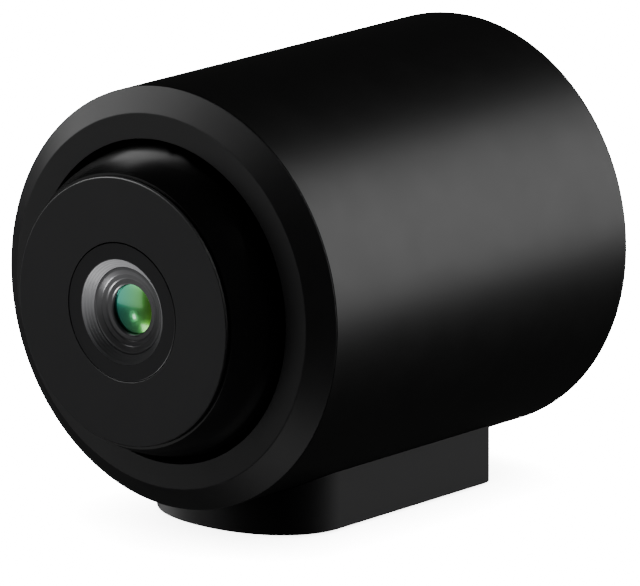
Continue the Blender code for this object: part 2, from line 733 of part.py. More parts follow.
def base_outline(inset):
    """The foot's outline in plan: square behind and round-nosed in front."""
    half_width = BASE_WIDTH / 2 - inset
    back = BASE_LENGTH / 2 - inset
    nose = BASE_NOSE_LENGTH - inset
    nose_start = -BASE_LENGTH / 2 + BASE_NOSE_LENGTH
    points = [(half_width, back), (-half_width, back)]
    steps = 20
    power = 2 / BASE_NOSE_POWER
    for step in range(steps + 1):
        angle = math.pi * step / steps
        across = math.cos(angle)
        ahead = math.sin(angle)
        x = -math.copysign(abs(across) ** power, across) * half_width
        points.append((x, nose_start - ahead**power * nose))
    return points


def make_base(axis_frame, base_finish, screw_finish):
    """The foot, its adhesive pad, its magnet and the two screws up into the barrel."""
    base_bottom = PAD_PROUD
    cut_radius = BARREL_RADIUS + FIT_GAP
    base_top = AXIS_HEIGHT - math.sqrt(cut_radius**2 - (BASE_WIDTH / 2) ** 2) + FIT_GAP
    base = prism("base_block", base_outline(0.0), base_bottom, base_top, base_finish, axis="Z")
    saddle = cylinder(
        "base_saddle", cut_radius, -BASE_LENGTH, BASE_LENGTH, None, None, (0.0, 0.0, AXIS_HEIGHT),
        2 * LARGE_ROUND,
    )
    pocket_top = base_bottom + PAD_THICKNESS
    pocket = prism("pad_pocket", base_outline(PAD_MARGIN), -FIT_GAP, pocket_top, None, axis="Z")
    hollows = [saddle, pocket]

    foam = surface("pad_foam", (0.03, 0.03, 0.032), 0.9)
    prism("adhesive_pad", base_outline(PAD_MARGIN + FIT_GAP), 0.0, PAD_THICKNESS, foam, axis="Z")

    seat_top = pocket_top + SMALL_GAP * 2 + SCREW_HEAD_HEIGHT
    steel = surface("magnet_nickel", (0.62, 0.61, 0.58), 0.3, metallic=1.0)
    magnet_bottom = pocket_top + SMALL_GAP
    magnet_top = magnet_bottom + MAGNET_THICKNESS
    middle = (0.0, sum(base_screw_places()) / 2, 0.0)
    magnet_pocket = cylinder(
        "magnet_pocket", MAGNET_RADIUS + FIT_GAP, 0.0, magnet_top + SMALL_GAP, None, None, middle,
        MIDDLE_ROUND, "Z"
    )
    hollows.append(magnet_pocket)
    cylinder("base_magnet", MAGNET_RADIUS, magnet_bottom, magnet_top, steel, None, middle, MIDDLE_ROUND, "Z")
    tray_floor_bottom = AXIS_HEIGHT - tray_bottom_drop()
    for number, y in enumerate(base_screw_places(), 1):
        place = (0.0, y, 0.0)
        hole = stepped_hole(
            f"base_screw_hole_{number}", SCREW_RADIUS + SMALL_GAP, SCREW_HEAD_RADIUS + SMALL_GAP,
            AXIS_HEIGHT - BARREL_BORE, seat_top, 0.0, None, place, "Z",
        )
        hollows.append(hole)
        head_top = seat_top - SMALL_GAP
        screw(
            f"base_screw_{number}", SCREW_RADIUS, SCREW_HEAD_RADIUS, SCREW_HEAD_HEIGHT,
            tray_floor_bottom - head_top,
            screw_finish, None, (0.0, y, head_top), -1, "Z",
        )
    cut(base, *hollows)


def tray_bottom_drop():
    """How far the tray's underside is below the barrel's axis."""
    return BATTERY_DROP + BATTERY_HEIGHT + FIT_GAP + TRAY_WALL


def make_power_pack(axis_frame):
    """The battery in its tray, whose two feet the base screws bite into.

    It returns the tray and the cutters for its hollow and its feet.
    """
    plastic = surface("tray_plastic", (0.09, 0.09, 0.1), 0.55)
    wrap = surface("battery_wrap", (0.16, 0.17, 0.2), 0.35, metallic=0.3)
    front = ELECTRONICS_FRONT
    back = front + BATTERY_LENGTH
    inner_width = BATTERY_WIDTH + 2 * FIT_GAP
    outer_width = inner_width + 2 * TRAY_WALL
    floor_bottom = -tray_bottom_drop()
    floor_top = floor_bottom + TRAY_WALL
    wall_top = -BOARD_TOP - FIT_GAP
    block(
        "battery", BATTERY_WIDTH, front, back, -BATTERY_DROP - BATTERY_HEIGHT, -BATTERY_DROP, wrap,
        axis_frame,
    )
    tray = block("inner_tray", outer_width, front, back, floor_bottom, wall_top, plastic, axis_frame)
    hollow = block(
        "tray_hollow", inner_width, front - FIT_GAP, back + FIT_GAP, floor_top, wall_top + FIT_GAP, None,
        axis_frame
    )
    ear_width = TRAY_EAR + TRAY_WALL
    added = []
    removed = [hollow]
    for number, side in enumerate((-1, 1), 1):
        ear_x = side * (inner_width / 2 + ear_width / 2)
        ear = block(
            f"tray_ear_{number}", ear_width, front, back, wall_top - TRAY_WALL, wall_top, None,
            axis_frame, ear_x
        )
        added.append(ear)
    for number, y in enumerate(base_screw_places(), 1):
        place = (0.0, y - RIM_Y, 0.0)
        bottom = -BARREL_BORE + FIT_GAP
        foot = cylinder(
            f"tray_foot_{number}", TRAY_FOOT_RADIUS, bottom, floor_bottom + TRAY_WALL / 2, None,
            axis_frame, place, axis="Z",
        )
        added.append(foot)
        hole = cylinder(
            f"tray_foot_hole_{number}", SCREW_RADIUS + SMALL_GAP, bottom - FIT_GAP,
            floor_bottom + FIT_GAP, None, axis_frame, place, axis="Z",
        )
        removed.append(hole)
    join(tray, *added)
    return tray, removed


def make_boards(axis_frame, tray, tray_hollows, screw_finish):
    """The main board, screwed to the tray, and what is soldered to it."""
    green = surface("board_green", (0.02, 0.17, 0.07), 0.4)
    chip = surface("chip_black", (0.02, 0.02, 0.022), 0.45)
    shield = surface("shield_tin", (0.6, 0.6, 0.6), 0.35, metallic=1.0)
    pad = surface("thermal_grey", (0.35, 0.37, 0.42), 0.85)
    sink = surface("heat_sink_aluminium", (0.55, 0.56, 0.58), 0.35, metallic=1.0)
    front = ELECTRONICS_FRONT
    back = COVER_FRONT - 2 * FIT_GAP - SWITCH_DEPTH
    board = block("main_board", MAIN_BOARD_WIDTH, front, back, -BOARD_TOP, BOARD_TOP, green, axis_frame)
    screw_x = BATTERY_WIDTH / 2 + FIT_GAP + TRAY_WALL + TRAY_EAR / 2
    screw_ends = (front + TRAY_EAR, front + BATTERY_LENGTH - TRAY_EAR)
    board_holes = []
    for number, side in enumerate((-1, 1), 1):
        place = (side * screw_x, screw_ends[number - 1], 0.0)
        length = BOARD_THICKNESS + FIT_GAP + TRAY_WALL
        hole = cylinder(
            f"board_hole_{number}", SMALL_SCREW_RADIUS + SMALL_GAP, -BOARD_TOP - length, BOARD_TOP + FIT_GAP,
            None, axis_frame, place, axis="Z",
        )
        board_holes.append(hole)
        screw(
            f"board_screw_{number}", SMALL_SCREW_RADIUS, SMALL_SCREW_HEAD_RADIUS, SMALL_SCREW_HEAD_HEIGHT,
            length, screw_finish, axis_frame, (*place[:2], BOARD_TOP + RUNNING_GAP), 1, "Z",
        )
    cut(board, *board_holes)
    cut(tray, *tray_hollows, *board_holes)

    chip_front = CONNECTOR_FRONT + FLEX_CONNECTOR_DEPTH + FIT_GAP
    seat = BOARD_TOP + FIT_GAP
    chip_top = seat + CHIP_THICKNESS
    chip_back = chip_front + PROCESSOR_WIDTH
    block("processor", PROCESSOR_WIDTH, chip_front, chip_back, seat, chip_top, chip, axis_frame)
    pad_bottom = chip_top + SMALL_GAP
    pad_top = pad_bottom + THERMAL_PAD_THICKNESS
    block("thermal_pad", PROCESSOR_WIDTH, chip_front, chip_back, pad_bottom, pad_top, pad, axis_frame)
    sink_bottom = pad_top + SMALL_GAP
    sink_top = sink_bottom + HEAT_SINK_HEIGHT
    heat_sink = block(
        "heat_sink", PROCESSOR_WIDTH, chip_front, chip_back, sink_bottom, sink_top, sink, axis_frame,
    )
    fin_pitch = (PROCESSOR_WIDTH - HEAT_SINK_FIN_WIDTH) / (HEAT_SINK_FINS - 1)
    slots = []
    for number in range(1, HEAT_SINK_FINS):
        x = -PROCESSOR_WIDTH / 2 + HEAT_SINK_FIN_WIDTH / 2 + (number - 0.5) * fin_pitch
        slot = block(
            f"fin_slot_{number}", fin_pitch - HEAT_SINK_FIN_WIDTH, chip_front - FIT_GAP, chip_back + FIT_GAP,
            sink_bottom + HEAT_SINK_BASE, sink_top + FIT_GAP, None, axis_frame, x,
        )
        slots.append(slot)
    cut(heat_sink, *slots)
    memory_x = -PROCESSOR_WIDTH / 2 - FIT_GAP - MEMORY_CHIP_WIDTH / 2
    memory_back = chip_front + MEMORY_CHIP_WIDTH
    block(
        "memory_chip", MEMORY_CHIP_WIDTH, chip_front, memory_back, seat, chip_top, chip, axis_frame,
        memory_x,
    )
    wireless_x = PROCESSOR_WIDTH / 2 + FIT_GAP + WIRELESS_WIDTH / 2
    wireless_top = seat + WIRELESS_HEIGHT
    wireless_back = chip_front + WIRELESS_WIDTH
    block(
        "wireless_module", WIRELESS_WIDTH, chip_front, wireless_back, seat, wireless_top, shield,
        axis_frame, wireless_x,
    )


def make_flex(axis_frame):
    """The ribbon from the sensor board to its connector on the main board."""
    film = surface("flex_film", (0.45, 0.22, 0.04), 0.35)
    beige = surface("connector_beige", (0.55, 0.5, 0.4), 0.5)
    low = HEAD_CENTRE + sensor_board_back() + FIT_GAP + RUNNING_GAP
    seat = BOARD_TOP + FIT_GAP
    block(
        "flex_connector", FLEX_CONNECTOR_WIDTH, CONNECTOR_FRONT, CONNECTOR_FRONT + FLEX_CONNECTOR_DEPTH, seat,
        seat + FLEX_CONNECTOR_HEIGHT, beige, axis_frame,
    )
    end = CONNECTOR_FRONT - FIT_GAP
    rise = seat + FLEX_CONNECTOR_HEIGHT / 2
    steps = 10
    line = []
    for step in range(steps + 1):
        share = step / steps
        reach = min(1.0, share / FLEX_RISE_SHARE)
        ease = reach * reach * (3 - 2 * reach)
        line.append((low + (end - low) * share, rise * ease))
    half = FLEX_THICKNESS / 2
    outline = [(y, z + half) for y, z in line] + [(y, z - half) for y, z in reversed(line)]
    prism("sensor_flex", outline, -FLEX_WIDTH / 2, FLEX_WIDTH / 2, film, axis_frame, axis="X")


def usb_centre_height():
    """The USB port stands on the main board, below the button board."""
    return BOARD_TOP + FIT_GAP + USB_HEIGHT / 2


def card_centre_height():
    """The card lies under the main board."""
    return -BOARD_TOP - FIT_GAP - CARD_SOCKET_WALL - SMALL_GAP - CARD_THICKNESS / 2


def make_ports(axis_frame):
    """The USB port and the card socket, and the memory card in it."""
    steel = surface("port_steel", (0.62, 0.62, 0.63), 0.28, metallic=1.0)
    black = surface("tongue_black", (0.02, 0.02, 0.02), 0.4)
    card_finish = surface("card_black", (0.03, 0.03, 0.034), 0.4)
    height = usb_centre_height()
    back = COVER_BACK - FIT_GAP
    front = back - USB_LENGTH
    shell = prism(
        "usb_port_shell", round_ended(USB_WIDTH, USB_HEIGHT, 0.0, height), front, back, steel,
        axis_frame,
    )
    inner_width = USB_WIDTH - 2 * USB_WALL
    inner_height = USB_HEIGHT - 2 * USB_WALL
    inner_front = front + 2 * USB_WALL
    hollow = prism(
        "usb_hollow", round_ended(inner_width, inner_height, 0.0, height), inner_front, back + FIT_GAP,
        None, axis_frame
    )
    cut(shell, hollow)
    root_front = inner_front + FIT_GAP
    root_back = root_front + USB_TONGUE_ROOT
    half_root = inner_height / 2 - FIT_GAP
    tongue = block(
        "usb_port_tongue", USB_TONGUE_WIDTH, root_front, root_back, height - half_root,
        height + half_root, black,
        axis_frame,
    )
    blade = block(
        "usb_blade", USB_TONGUE_WIDTH, root_front + RUNNING_GAP, back - 3 * FIT_GAP,
        height - USB_TONGUE_THICKNESS / 2, height + USB_TONGUE_THICKNESS / 2, None, axis_frame,
    )
    join(tongue, blade)

    middle = card_centre_height()
    card_back = COVER_BACK + CARD_PROUD
    card_front = card_back - CARD_LENGTH
    socket_back = COVER_FRONT - 2 * FIT_GAP - SWITCH_DEPTH
    cavity_front = card_front - CARD_UNLATCH - FIT_GAP
    cavity_height = CARD_THICKNESS + 2 * SMALL_GAP
    cavity_width = CARD_WIDTH + 2 * FIT_GAP
    socket = block(
        "card_socket", cavity_width + 2 * CARD_SOCKET_WALL, cavity_front - CARD_SOCKET_WALL, socket_back,
        middle - cavity_height / 2 - CARD_SOCKET_WALL, middle + cavity_height / 2 + CARD_SOCKET_WALL,
        steel, axis_frame,
    )
    cavity = block(
        "card_cavity", cavity_width, cavity_front, socket_back + FIT_GAP, middle - cavity_height / 2,
        middle + cavity_height / 2, None, axis_frame,
    )
    cut(socket, cavity)
    half = CARD_THICKNESS / 2
    block(
        "memory_card", CARD_WIDTH, card_front, card_back, middle - half, middle + half, card_finish,
        axis_frame,
    )


def make_controls(axis_frame):
    """The button board with its switches, and the two buttons, light and microphone."""
    green = surface("button_board_green", (0.02, 0.17, 0.07), 0.4)
    chip = surface("switch_black", (0.02, 0.02, 0.02), 0.4)
    lit = surface("led_white", (0.85, 0.87, 0.82), 0.3)
    clear = surface("light_pipe_clear", (0.75, 0.8, 0.82), 0.1, transmission=0.8)
    rubber = surface("button_black", (0.02, 0.02, 0.021), 0.5)
    can = surface("microphone_tin", (0.6, 0.6, 0.6), 0.35, metallic=1.0)
    flange_back = COVER_FRONT - FIT_GAP
    flange_front = flange_back - BUTTON_FLANGE_THICKNESS
    nub_back = flange_front - BUTTON_TRAVEL - 2 * RUNNING_GAP
    switch_back = nub_back - SWITCH_NUB_LENGTH
    switch_front = switch_back - SWITCH_DEPTH
    board_back = switch_front - SMALL_GAP
    board_front = board_back - BUTTON_BOARD_THICKNESS
    board_width = 2 * (CONTROL_SPREAD + SWITCH_WIDTH)
    low = CONTROL_HEIGHT - BUTTON_BOARD_HEIGHT / 2
    high = CONTROL_HEIGHT + BUTTON_BOARD_HEIGHT / 2
    block("button_board", board_width, board_front, board_back, low, high, green, axis_frame)
    controls = (
        ("power", -CONTROL_SPREAD, POWER_BUTTON_RADIUS),
        ("reset", CONTROL_SPREAD, RESET_BUTTON_RADIUS),
    )
    for label, x, radius in controls:
        place = (x, 0.0, CONTROL_HEIGHT)
        half = SWITCH_WIDTH / 2
        switch = block(
            f"{label}_switch", SWITCH_WIDTH, switch_front, switch_back, CONTROL_HEIGHT - half,
            CONTROL_HEIGHT + half, chip, axis_frame, x,
        )
        nub = cylinder(
            f"{label}_nub", SWITCH_NUB_RADIUS, switch_back - RUNNING_GAP, nub_back, None, axis_frame, place
        )
        join(switch, nub)
        chamfer = 2 * RUNNING_GAP
        button_back = COVER_BACK + BUTTON_PROUD
        profile = [
            (0.0, 0.0),
            (radius + BUTTON_FLANGE, 0.0),
            (radius + BUTTON_FLANGE, BUTTON_FLANGE_THICKNESS),
            (radius, BUTTON_FLANGE_THICKNESS),
            (radius, button_back - flange_front - chamfer),
            (radius - chamfer, button_back - flange_front),
            (0.0, button_back - flange_front),
        ]
        turned(f"{label}_button", profile, rubber, axis_frame, (x, flange_front, CONTROL_HEIGHT))
    led_back = switch_front + SWITCH_DEPTH / 2
    half = LIGHT_PIPE_RADIUS
    block(
        "status_led", 2 * half, switch_front, led_back, CONTROL_HEIGHT - half, CONTROL_HEIGHT + half,
        lit, axis_frame
    )
    cylinder(
        "light_pipe", LIGHT_PIPE_RADIUS, led_back + FIT_GAP, COVER_BACK, clear, axis_frame,
        (0.0, 0.0, CONTROL_HEIGHT)
    )
    half = MICROPHONE_WIDTH / 2
    block(
        "microphone", MICROPHONE_WIDTH, switch_front, led_back, CONTROL_HEIGHT - half,
        CONTROL_HEIGHT + half, can,
        axis_frame, MICROPHONE_OFFSET,
    )


def make_rear(axis_frame, cover_finish, screw_finish, rubber):
    """The rear cover with its openings, its seal, its screws and the speaker behind its grille."""
    groove = SEAL_RADIUS + FIT_GAP / 2
    groove_middle = (COVER_FRONT + COVER_BACK) / 2
    groove_bottom = COVER_RADIUS - 2 * SEAL_RADIUS - FIT_GAP
    profile = [
        (0.0, COVER_FRONT),
        (COVER_RADIUS, COVER_FRONT),
        (COVER_RADIUS, groove_middle - groove),
        (groove_bottom, groove_middle - groove),
        (groove_bottom, groove_middle + groove),
        (COVER_RADIUS, groove_middle + groove),
        (COVER_RADIUS, COVER_BACK - COVER_EDGE_CHAMFER),
        (COVER_RADIUS - COVER_EDGE_CHAMFER, COVER_BACK),
        (0.0, COVER_BACK),
    ]
    cover = turned("rear_cover", profile, cover_finish, axis_frame, steps=LARGE_ROUND)
    seal_profile = arc(SEAL_RADIUS, 0, 300, 5, (COVER_RADIUS - SEAL_RADIUS, groove_middle))
    turned("rear_seal", seal_profile, rubber, axis_frame, steps=LARGE_ROUND)

    through = (COVER_FRONT - FIT_GAP, COVER_BACK + FIT_GAP)
    usb = round_ended(USB_WIDTH + 2 * FIT_GAP, USB_HEIGHT + 2 * FIT_GAP, 0.0, usb_centre_height())
    openings = [prism("usb_opening", usb, *through, None, axis_frame)]
    card = rectangle(CARD_WIDTH + 2 * FIT_GAP, CARD_THICKNESS + 2 * FIT_GAP, 0.0, card_centre_height())
    openings.append(prism("card_opening", card, *through, None, axis_frame))
    round_holes = [
        ("power_opening", -CONTROL_SPREAD, CONTROL_HEIGHT, POWER_BUTTON_RADIUS + FIT_GAP),
        ("reset_opening", CONTROL_SPREAD, CONTROL_HEIGHT, RESET_BUTTON_RADIUS + FIT_GAP),
        ("light_opening", 0.0, CONTROL_HEIGHT, LIGHT_PIPE_RADIUS + FIT_GAP),
        ("microphone_opening", MICROPHONE_OFFSET, CONTROL_HEIGHT, MICROPHONE_HOLE_RADIUS),
        ("grille_hole_0", 0.0, -SPEAKER_DROP, GRILLE_HOLE_RADIUS),
    ]
    for number in range(GRILLE_HOLES):
        x, z = on_circle(GRILLE_PITCH, 360.0 * number / GRILLE_HOLES)
        round_holes.append((f"grille_hole_{number + 1}", x, z - SPEAKER_DROP, GRILLE_HOLE_RADIUS))
    for name, x, z, radius in round_holes:
        openings.append(cylinder(name, radius, *through, None, axis_frame, (x, 0.0, z)))

    seat = COVER_BACK - SCREW_HEAD_HEIGHT - SMALL_GAP
    for number, degrees in enumerate(COVER_SCREW_ANGLES, 1):
        x, z = on_circle(COVER_SCREW_CIRCLE, degrees)
        place = (x, 0.0, z)
        hole = stepped_hole(
            f"cover_hole_{number}", SCREW_RADIUS + SMALL_GAP, SCREW_HEAD_RADIUS + SMALL_GAP, through[0],
            seat - SMALL_GAP, through[1], axis_frame, place,
        )
        openings.append(hole)
        length = seat - BOSS_BACK + COVER_SCREW_LENGTH - 2 * FIT_GAP
        screw(
            f"cover_screw_{number}", SCREW_RADIUS, SCREW_HEAD_RADIUS, SCREW_HEAD_HEIGHT, length, screw_finish,
            axis_frame, (x, seat, z), 1,
        )
    cut(cover, *openings)

    paper = surface("speaker_black", (0.03, 0.03, 0.03), 0.7)
    speaker_back = COVER_FRONT - FIT_GAP
    cylinder(
        "speaker", SPEAKER_RADIUS, speaker_back - SPEAKER_THICKNESS, speaker_back, paper, axis_frame,
        (0.0, 0.0, -SPEAKER_DROP), MIDDLE_ROUND,
    )


def main():
    """Builds every piece of the camera."""
    clear_scene()
    satin_black = surface("satin_black", (0.013, 0.013, 0.014), 0.42)
    bezel_black = surface("bezel_black", (0.014, 0.014, 0.015), 0.36)
    shell_black = surface("shell_black", (0.012, 0.012, 0.013), 0.34)
    plate_black = surface("plate_black", (0.013, 0.013, 0.014), 0.4)
    base_black = surface("base_black", (0.016, 0.016, 0.017), 0.5)
    cover_black = surface("cover_black", (0.016, 0.016, 0.017), 0.5)
    inner_black = surface("inner_black", (0.02, 0.02, 0.02), 0.6)
    rubber = surface("rubber_black", (0.018, 0.018, 0.018), 0.8)
    screw_steel = surface("screw_steel", (0.12, 0.12, 0.125), 0.35, metallic=1.0)
    pin_steel = surface("pin_steel", (0.6, 0.6, 0.6), 0.25, metallic=1.0)

    axis_frame = empty_at("barrel_axis", (0.0, RIM_Y, AXIS_HEIGHT))
    head_pivot = empty_at("head_pivot", (0.0, HEAD_CENTRE, 0.0), axis_frame)

    make_barrel(axis_frame, satin_black)
    make_front(axis_frame, bezel_black, inner_black, screw_steel, rubber)
    make_head(head_pivot, shell_black, plate_black, screw_steel, pin_steel)
    make_lens(head_pivot)
    make_base(axis_frame, base_black, screw_steel)
    tray, tray_hollows = make_power_pack(axis_frame)
    make_boards(axis_frame, tray, tray_hollows, screw_steel)
    make_flex(axis_frame)
    make_ports(axis_frame)
    make_controls(axis_frame)
    make_rear(axis_frame, cover_black, screw_steel, rubber)


if __name__ == "__main__":
    main()
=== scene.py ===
"""Visual model of a short cylindrical dash camera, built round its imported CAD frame.

Sizes in the classes are in millimetres. "along" is measured towards +Y, from the barrel's front
rim on the housing and from the tilt axis on the lens head. "out" is measured from the barrel's axis.
"""

import json
import logging
import math
from dataclasses import dataclass, field
from enum import Enum

import bmesh
import bpy
from mathutils import Matrix, Vector


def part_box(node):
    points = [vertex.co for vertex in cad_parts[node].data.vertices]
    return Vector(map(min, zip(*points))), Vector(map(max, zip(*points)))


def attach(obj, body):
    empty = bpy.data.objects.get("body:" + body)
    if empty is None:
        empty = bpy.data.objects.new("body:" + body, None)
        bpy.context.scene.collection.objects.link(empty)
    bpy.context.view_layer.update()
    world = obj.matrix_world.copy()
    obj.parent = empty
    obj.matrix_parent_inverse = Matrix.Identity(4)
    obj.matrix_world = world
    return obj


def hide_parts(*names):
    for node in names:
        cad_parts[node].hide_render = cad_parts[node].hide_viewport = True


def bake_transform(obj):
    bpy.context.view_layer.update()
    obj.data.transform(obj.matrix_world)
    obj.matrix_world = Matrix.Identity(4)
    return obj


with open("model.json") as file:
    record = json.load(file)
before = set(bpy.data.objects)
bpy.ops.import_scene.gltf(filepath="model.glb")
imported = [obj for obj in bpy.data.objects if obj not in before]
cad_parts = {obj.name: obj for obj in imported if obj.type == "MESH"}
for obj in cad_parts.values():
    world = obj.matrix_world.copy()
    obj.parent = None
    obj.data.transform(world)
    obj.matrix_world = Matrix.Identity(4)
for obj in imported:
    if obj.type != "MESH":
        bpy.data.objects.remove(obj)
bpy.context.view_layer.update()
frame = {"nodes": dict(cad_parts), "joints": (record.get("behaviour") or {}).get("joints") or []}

MM = 0.001
MICRON = 1e-6
WHITE = (1.0, 1.0, 1.0, 1.0)
LOG = logging.getLogger("dash_camera")

Colour = tuple[float, float, float]
Pair = tuple[float, float]
Point = tuple[float, float, float]
Socket = bpy.types.NodeSocket
Sockets = tuple[Socket, Socket]
Piece = bpy.types.Object


def grey(value: float, blue: float = 0.0) -> Colour:
    """A grey, with a little more blue if it is asked for."""
    return value, value, value + blue


def seat_of(name: str, along: float | None = None) -> Vector:
    """The middle of a node's box across X and Z, at its front face or at a distance along Y, in metres."""
    low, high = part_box(name)
    return Vector(((low.x + high.x) / 2, low.y if along is None else along, (low.z + high.z) / 2))


class Body(Enum):
    """The bodies that a piece can ride on."""

    HOUSING = "housing"
    HEAD = "lens_head"
    POWER_KEY = "power_key"
    RESET_KEY = "reset_key"
    CARD = "card"


class Axis(Enum):
    """The direction that a shape is turned about or pushed along, and the order that puts it there."""

    X = (1, 2, 0)
    Y = (0, 1, 2)
    Z = (2, 0, 1)


@dataclass(frozen=True)
class Layout:
    """Where the object's main lines are. The points are in metres, and the single sizes in millimetres."""

    rim: Vector
    pivot: Vector
    barrel_radius: float
    barrel_end: float
    cover_back: float
    foot_low: Vector
    foot_high: Vector

    @classmethod
    def read(cls) -> "Layout":
        """Reads the lines from the frame."""
        low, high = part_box("barrel_housing")
        bezel_low, bezel_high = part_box("front_bezel")
        foot_low, foot_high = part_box("base_block")
        tilt = next(joint for joint in frame["joints"] if joint["name"] == "head_tilt")
        pivot = Vector(tilt["pos_m"])
        rim_along = bezel_low.y + FrontBezel.depth * MM
        rim = Vector((0.0, rim_along, pivot.z))
        return cls(
            rim=rim,
            pivot=pivot,
            barrel_radius=(high.x - low.x) / 2 / MM,
            barrel_end=(high.y - rim_along) / MM,
            cover_back=(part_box("rear_cover")[1].y - rim_along) / MM,
            foot_low=foot_low,
            foot_high=foot_high,
        )


# ---------------------------------------------------------------- nodes


class Graph:
    """Adds nodes to one tree and joins them."""

    def __init__(self, tree: bpy.types.NodeTree) -> None:
        """Takes the tree to work in."""
        self.tree = tree

    def add(self, kind: str, sockets: dict | None = None, **settings: object) -> bpy.types.Node:
        """Adds one node.

        Args:
            kind: Blender's name for the type of node.
            sockets: What goes into its inputs, by name or number: an output of another node, or a value.
            settings: The node's own options.

        Returns:
            The new node.
        """
        node = self.tree.nodes.new(kind)
        for name, value in settings.items():
            setattr(node, name, value)
        for name, value in (sockets or {}).items():
            if isinstance(value, Socket):
                self.tree.links.new(value, node.inputs[name])
            else:
                node.inputs[name].default_value = value
        return node

    def join(self, value: Socket, node: bpy.types.Node, name: str) -> None:
        """Joins a value to a node's input."""
        self.tree.links.new(value, node.inputs[name])

    def place(self) -> Socket:
        """The object's own coordinates."""
        return self.add("ShaderNodeTexCoord").outputs["Object"]

    def parts(self, vector: object) -> bpy.types.bpy_prop_collection:
        """The X, Y and Z of a vector."""
        return self.add("ShaderNodeSeparateXYZ", {"Vector": vector}).outputs

    def maths(self, operation: str, *values: object) -> Socket:
        """Adds a Math node on up to three values and returns its result."""
        return self.add("ShaderNodeMath", dict(enumerate(values)), operation=operation).outputs[0]

    def spread(self, value: Socket, low: float, high: float) -> Socket:
        """Maps a value from 0 to 1 onto low to high."""
        sockets = {"Value": value, "To Min": low, "To Max": high}
        return self.add("ShaderNodeMapRange", sockets).outputs["Result"]

    def between(self, share: object, first: object, second: object) -> Socket:
        """Mixes two colours and returns the result."""
        sockets = {"Factor": share, 6: first, 7: second}
        return self.add("ShaderNodeMix", sockets, data_type="RGBA").outputs[2]


class Effect(Enum):
    """The shader node groups that several finishes share."""

    GRAIN = "fine_grain"
    RINGS = "turning_marks"
    WEAR = "edge_wear"
    STREAKS = "brushed_streaks"
    TRACES = "circuit_traces"
    WEAVE = "cloth_weave"


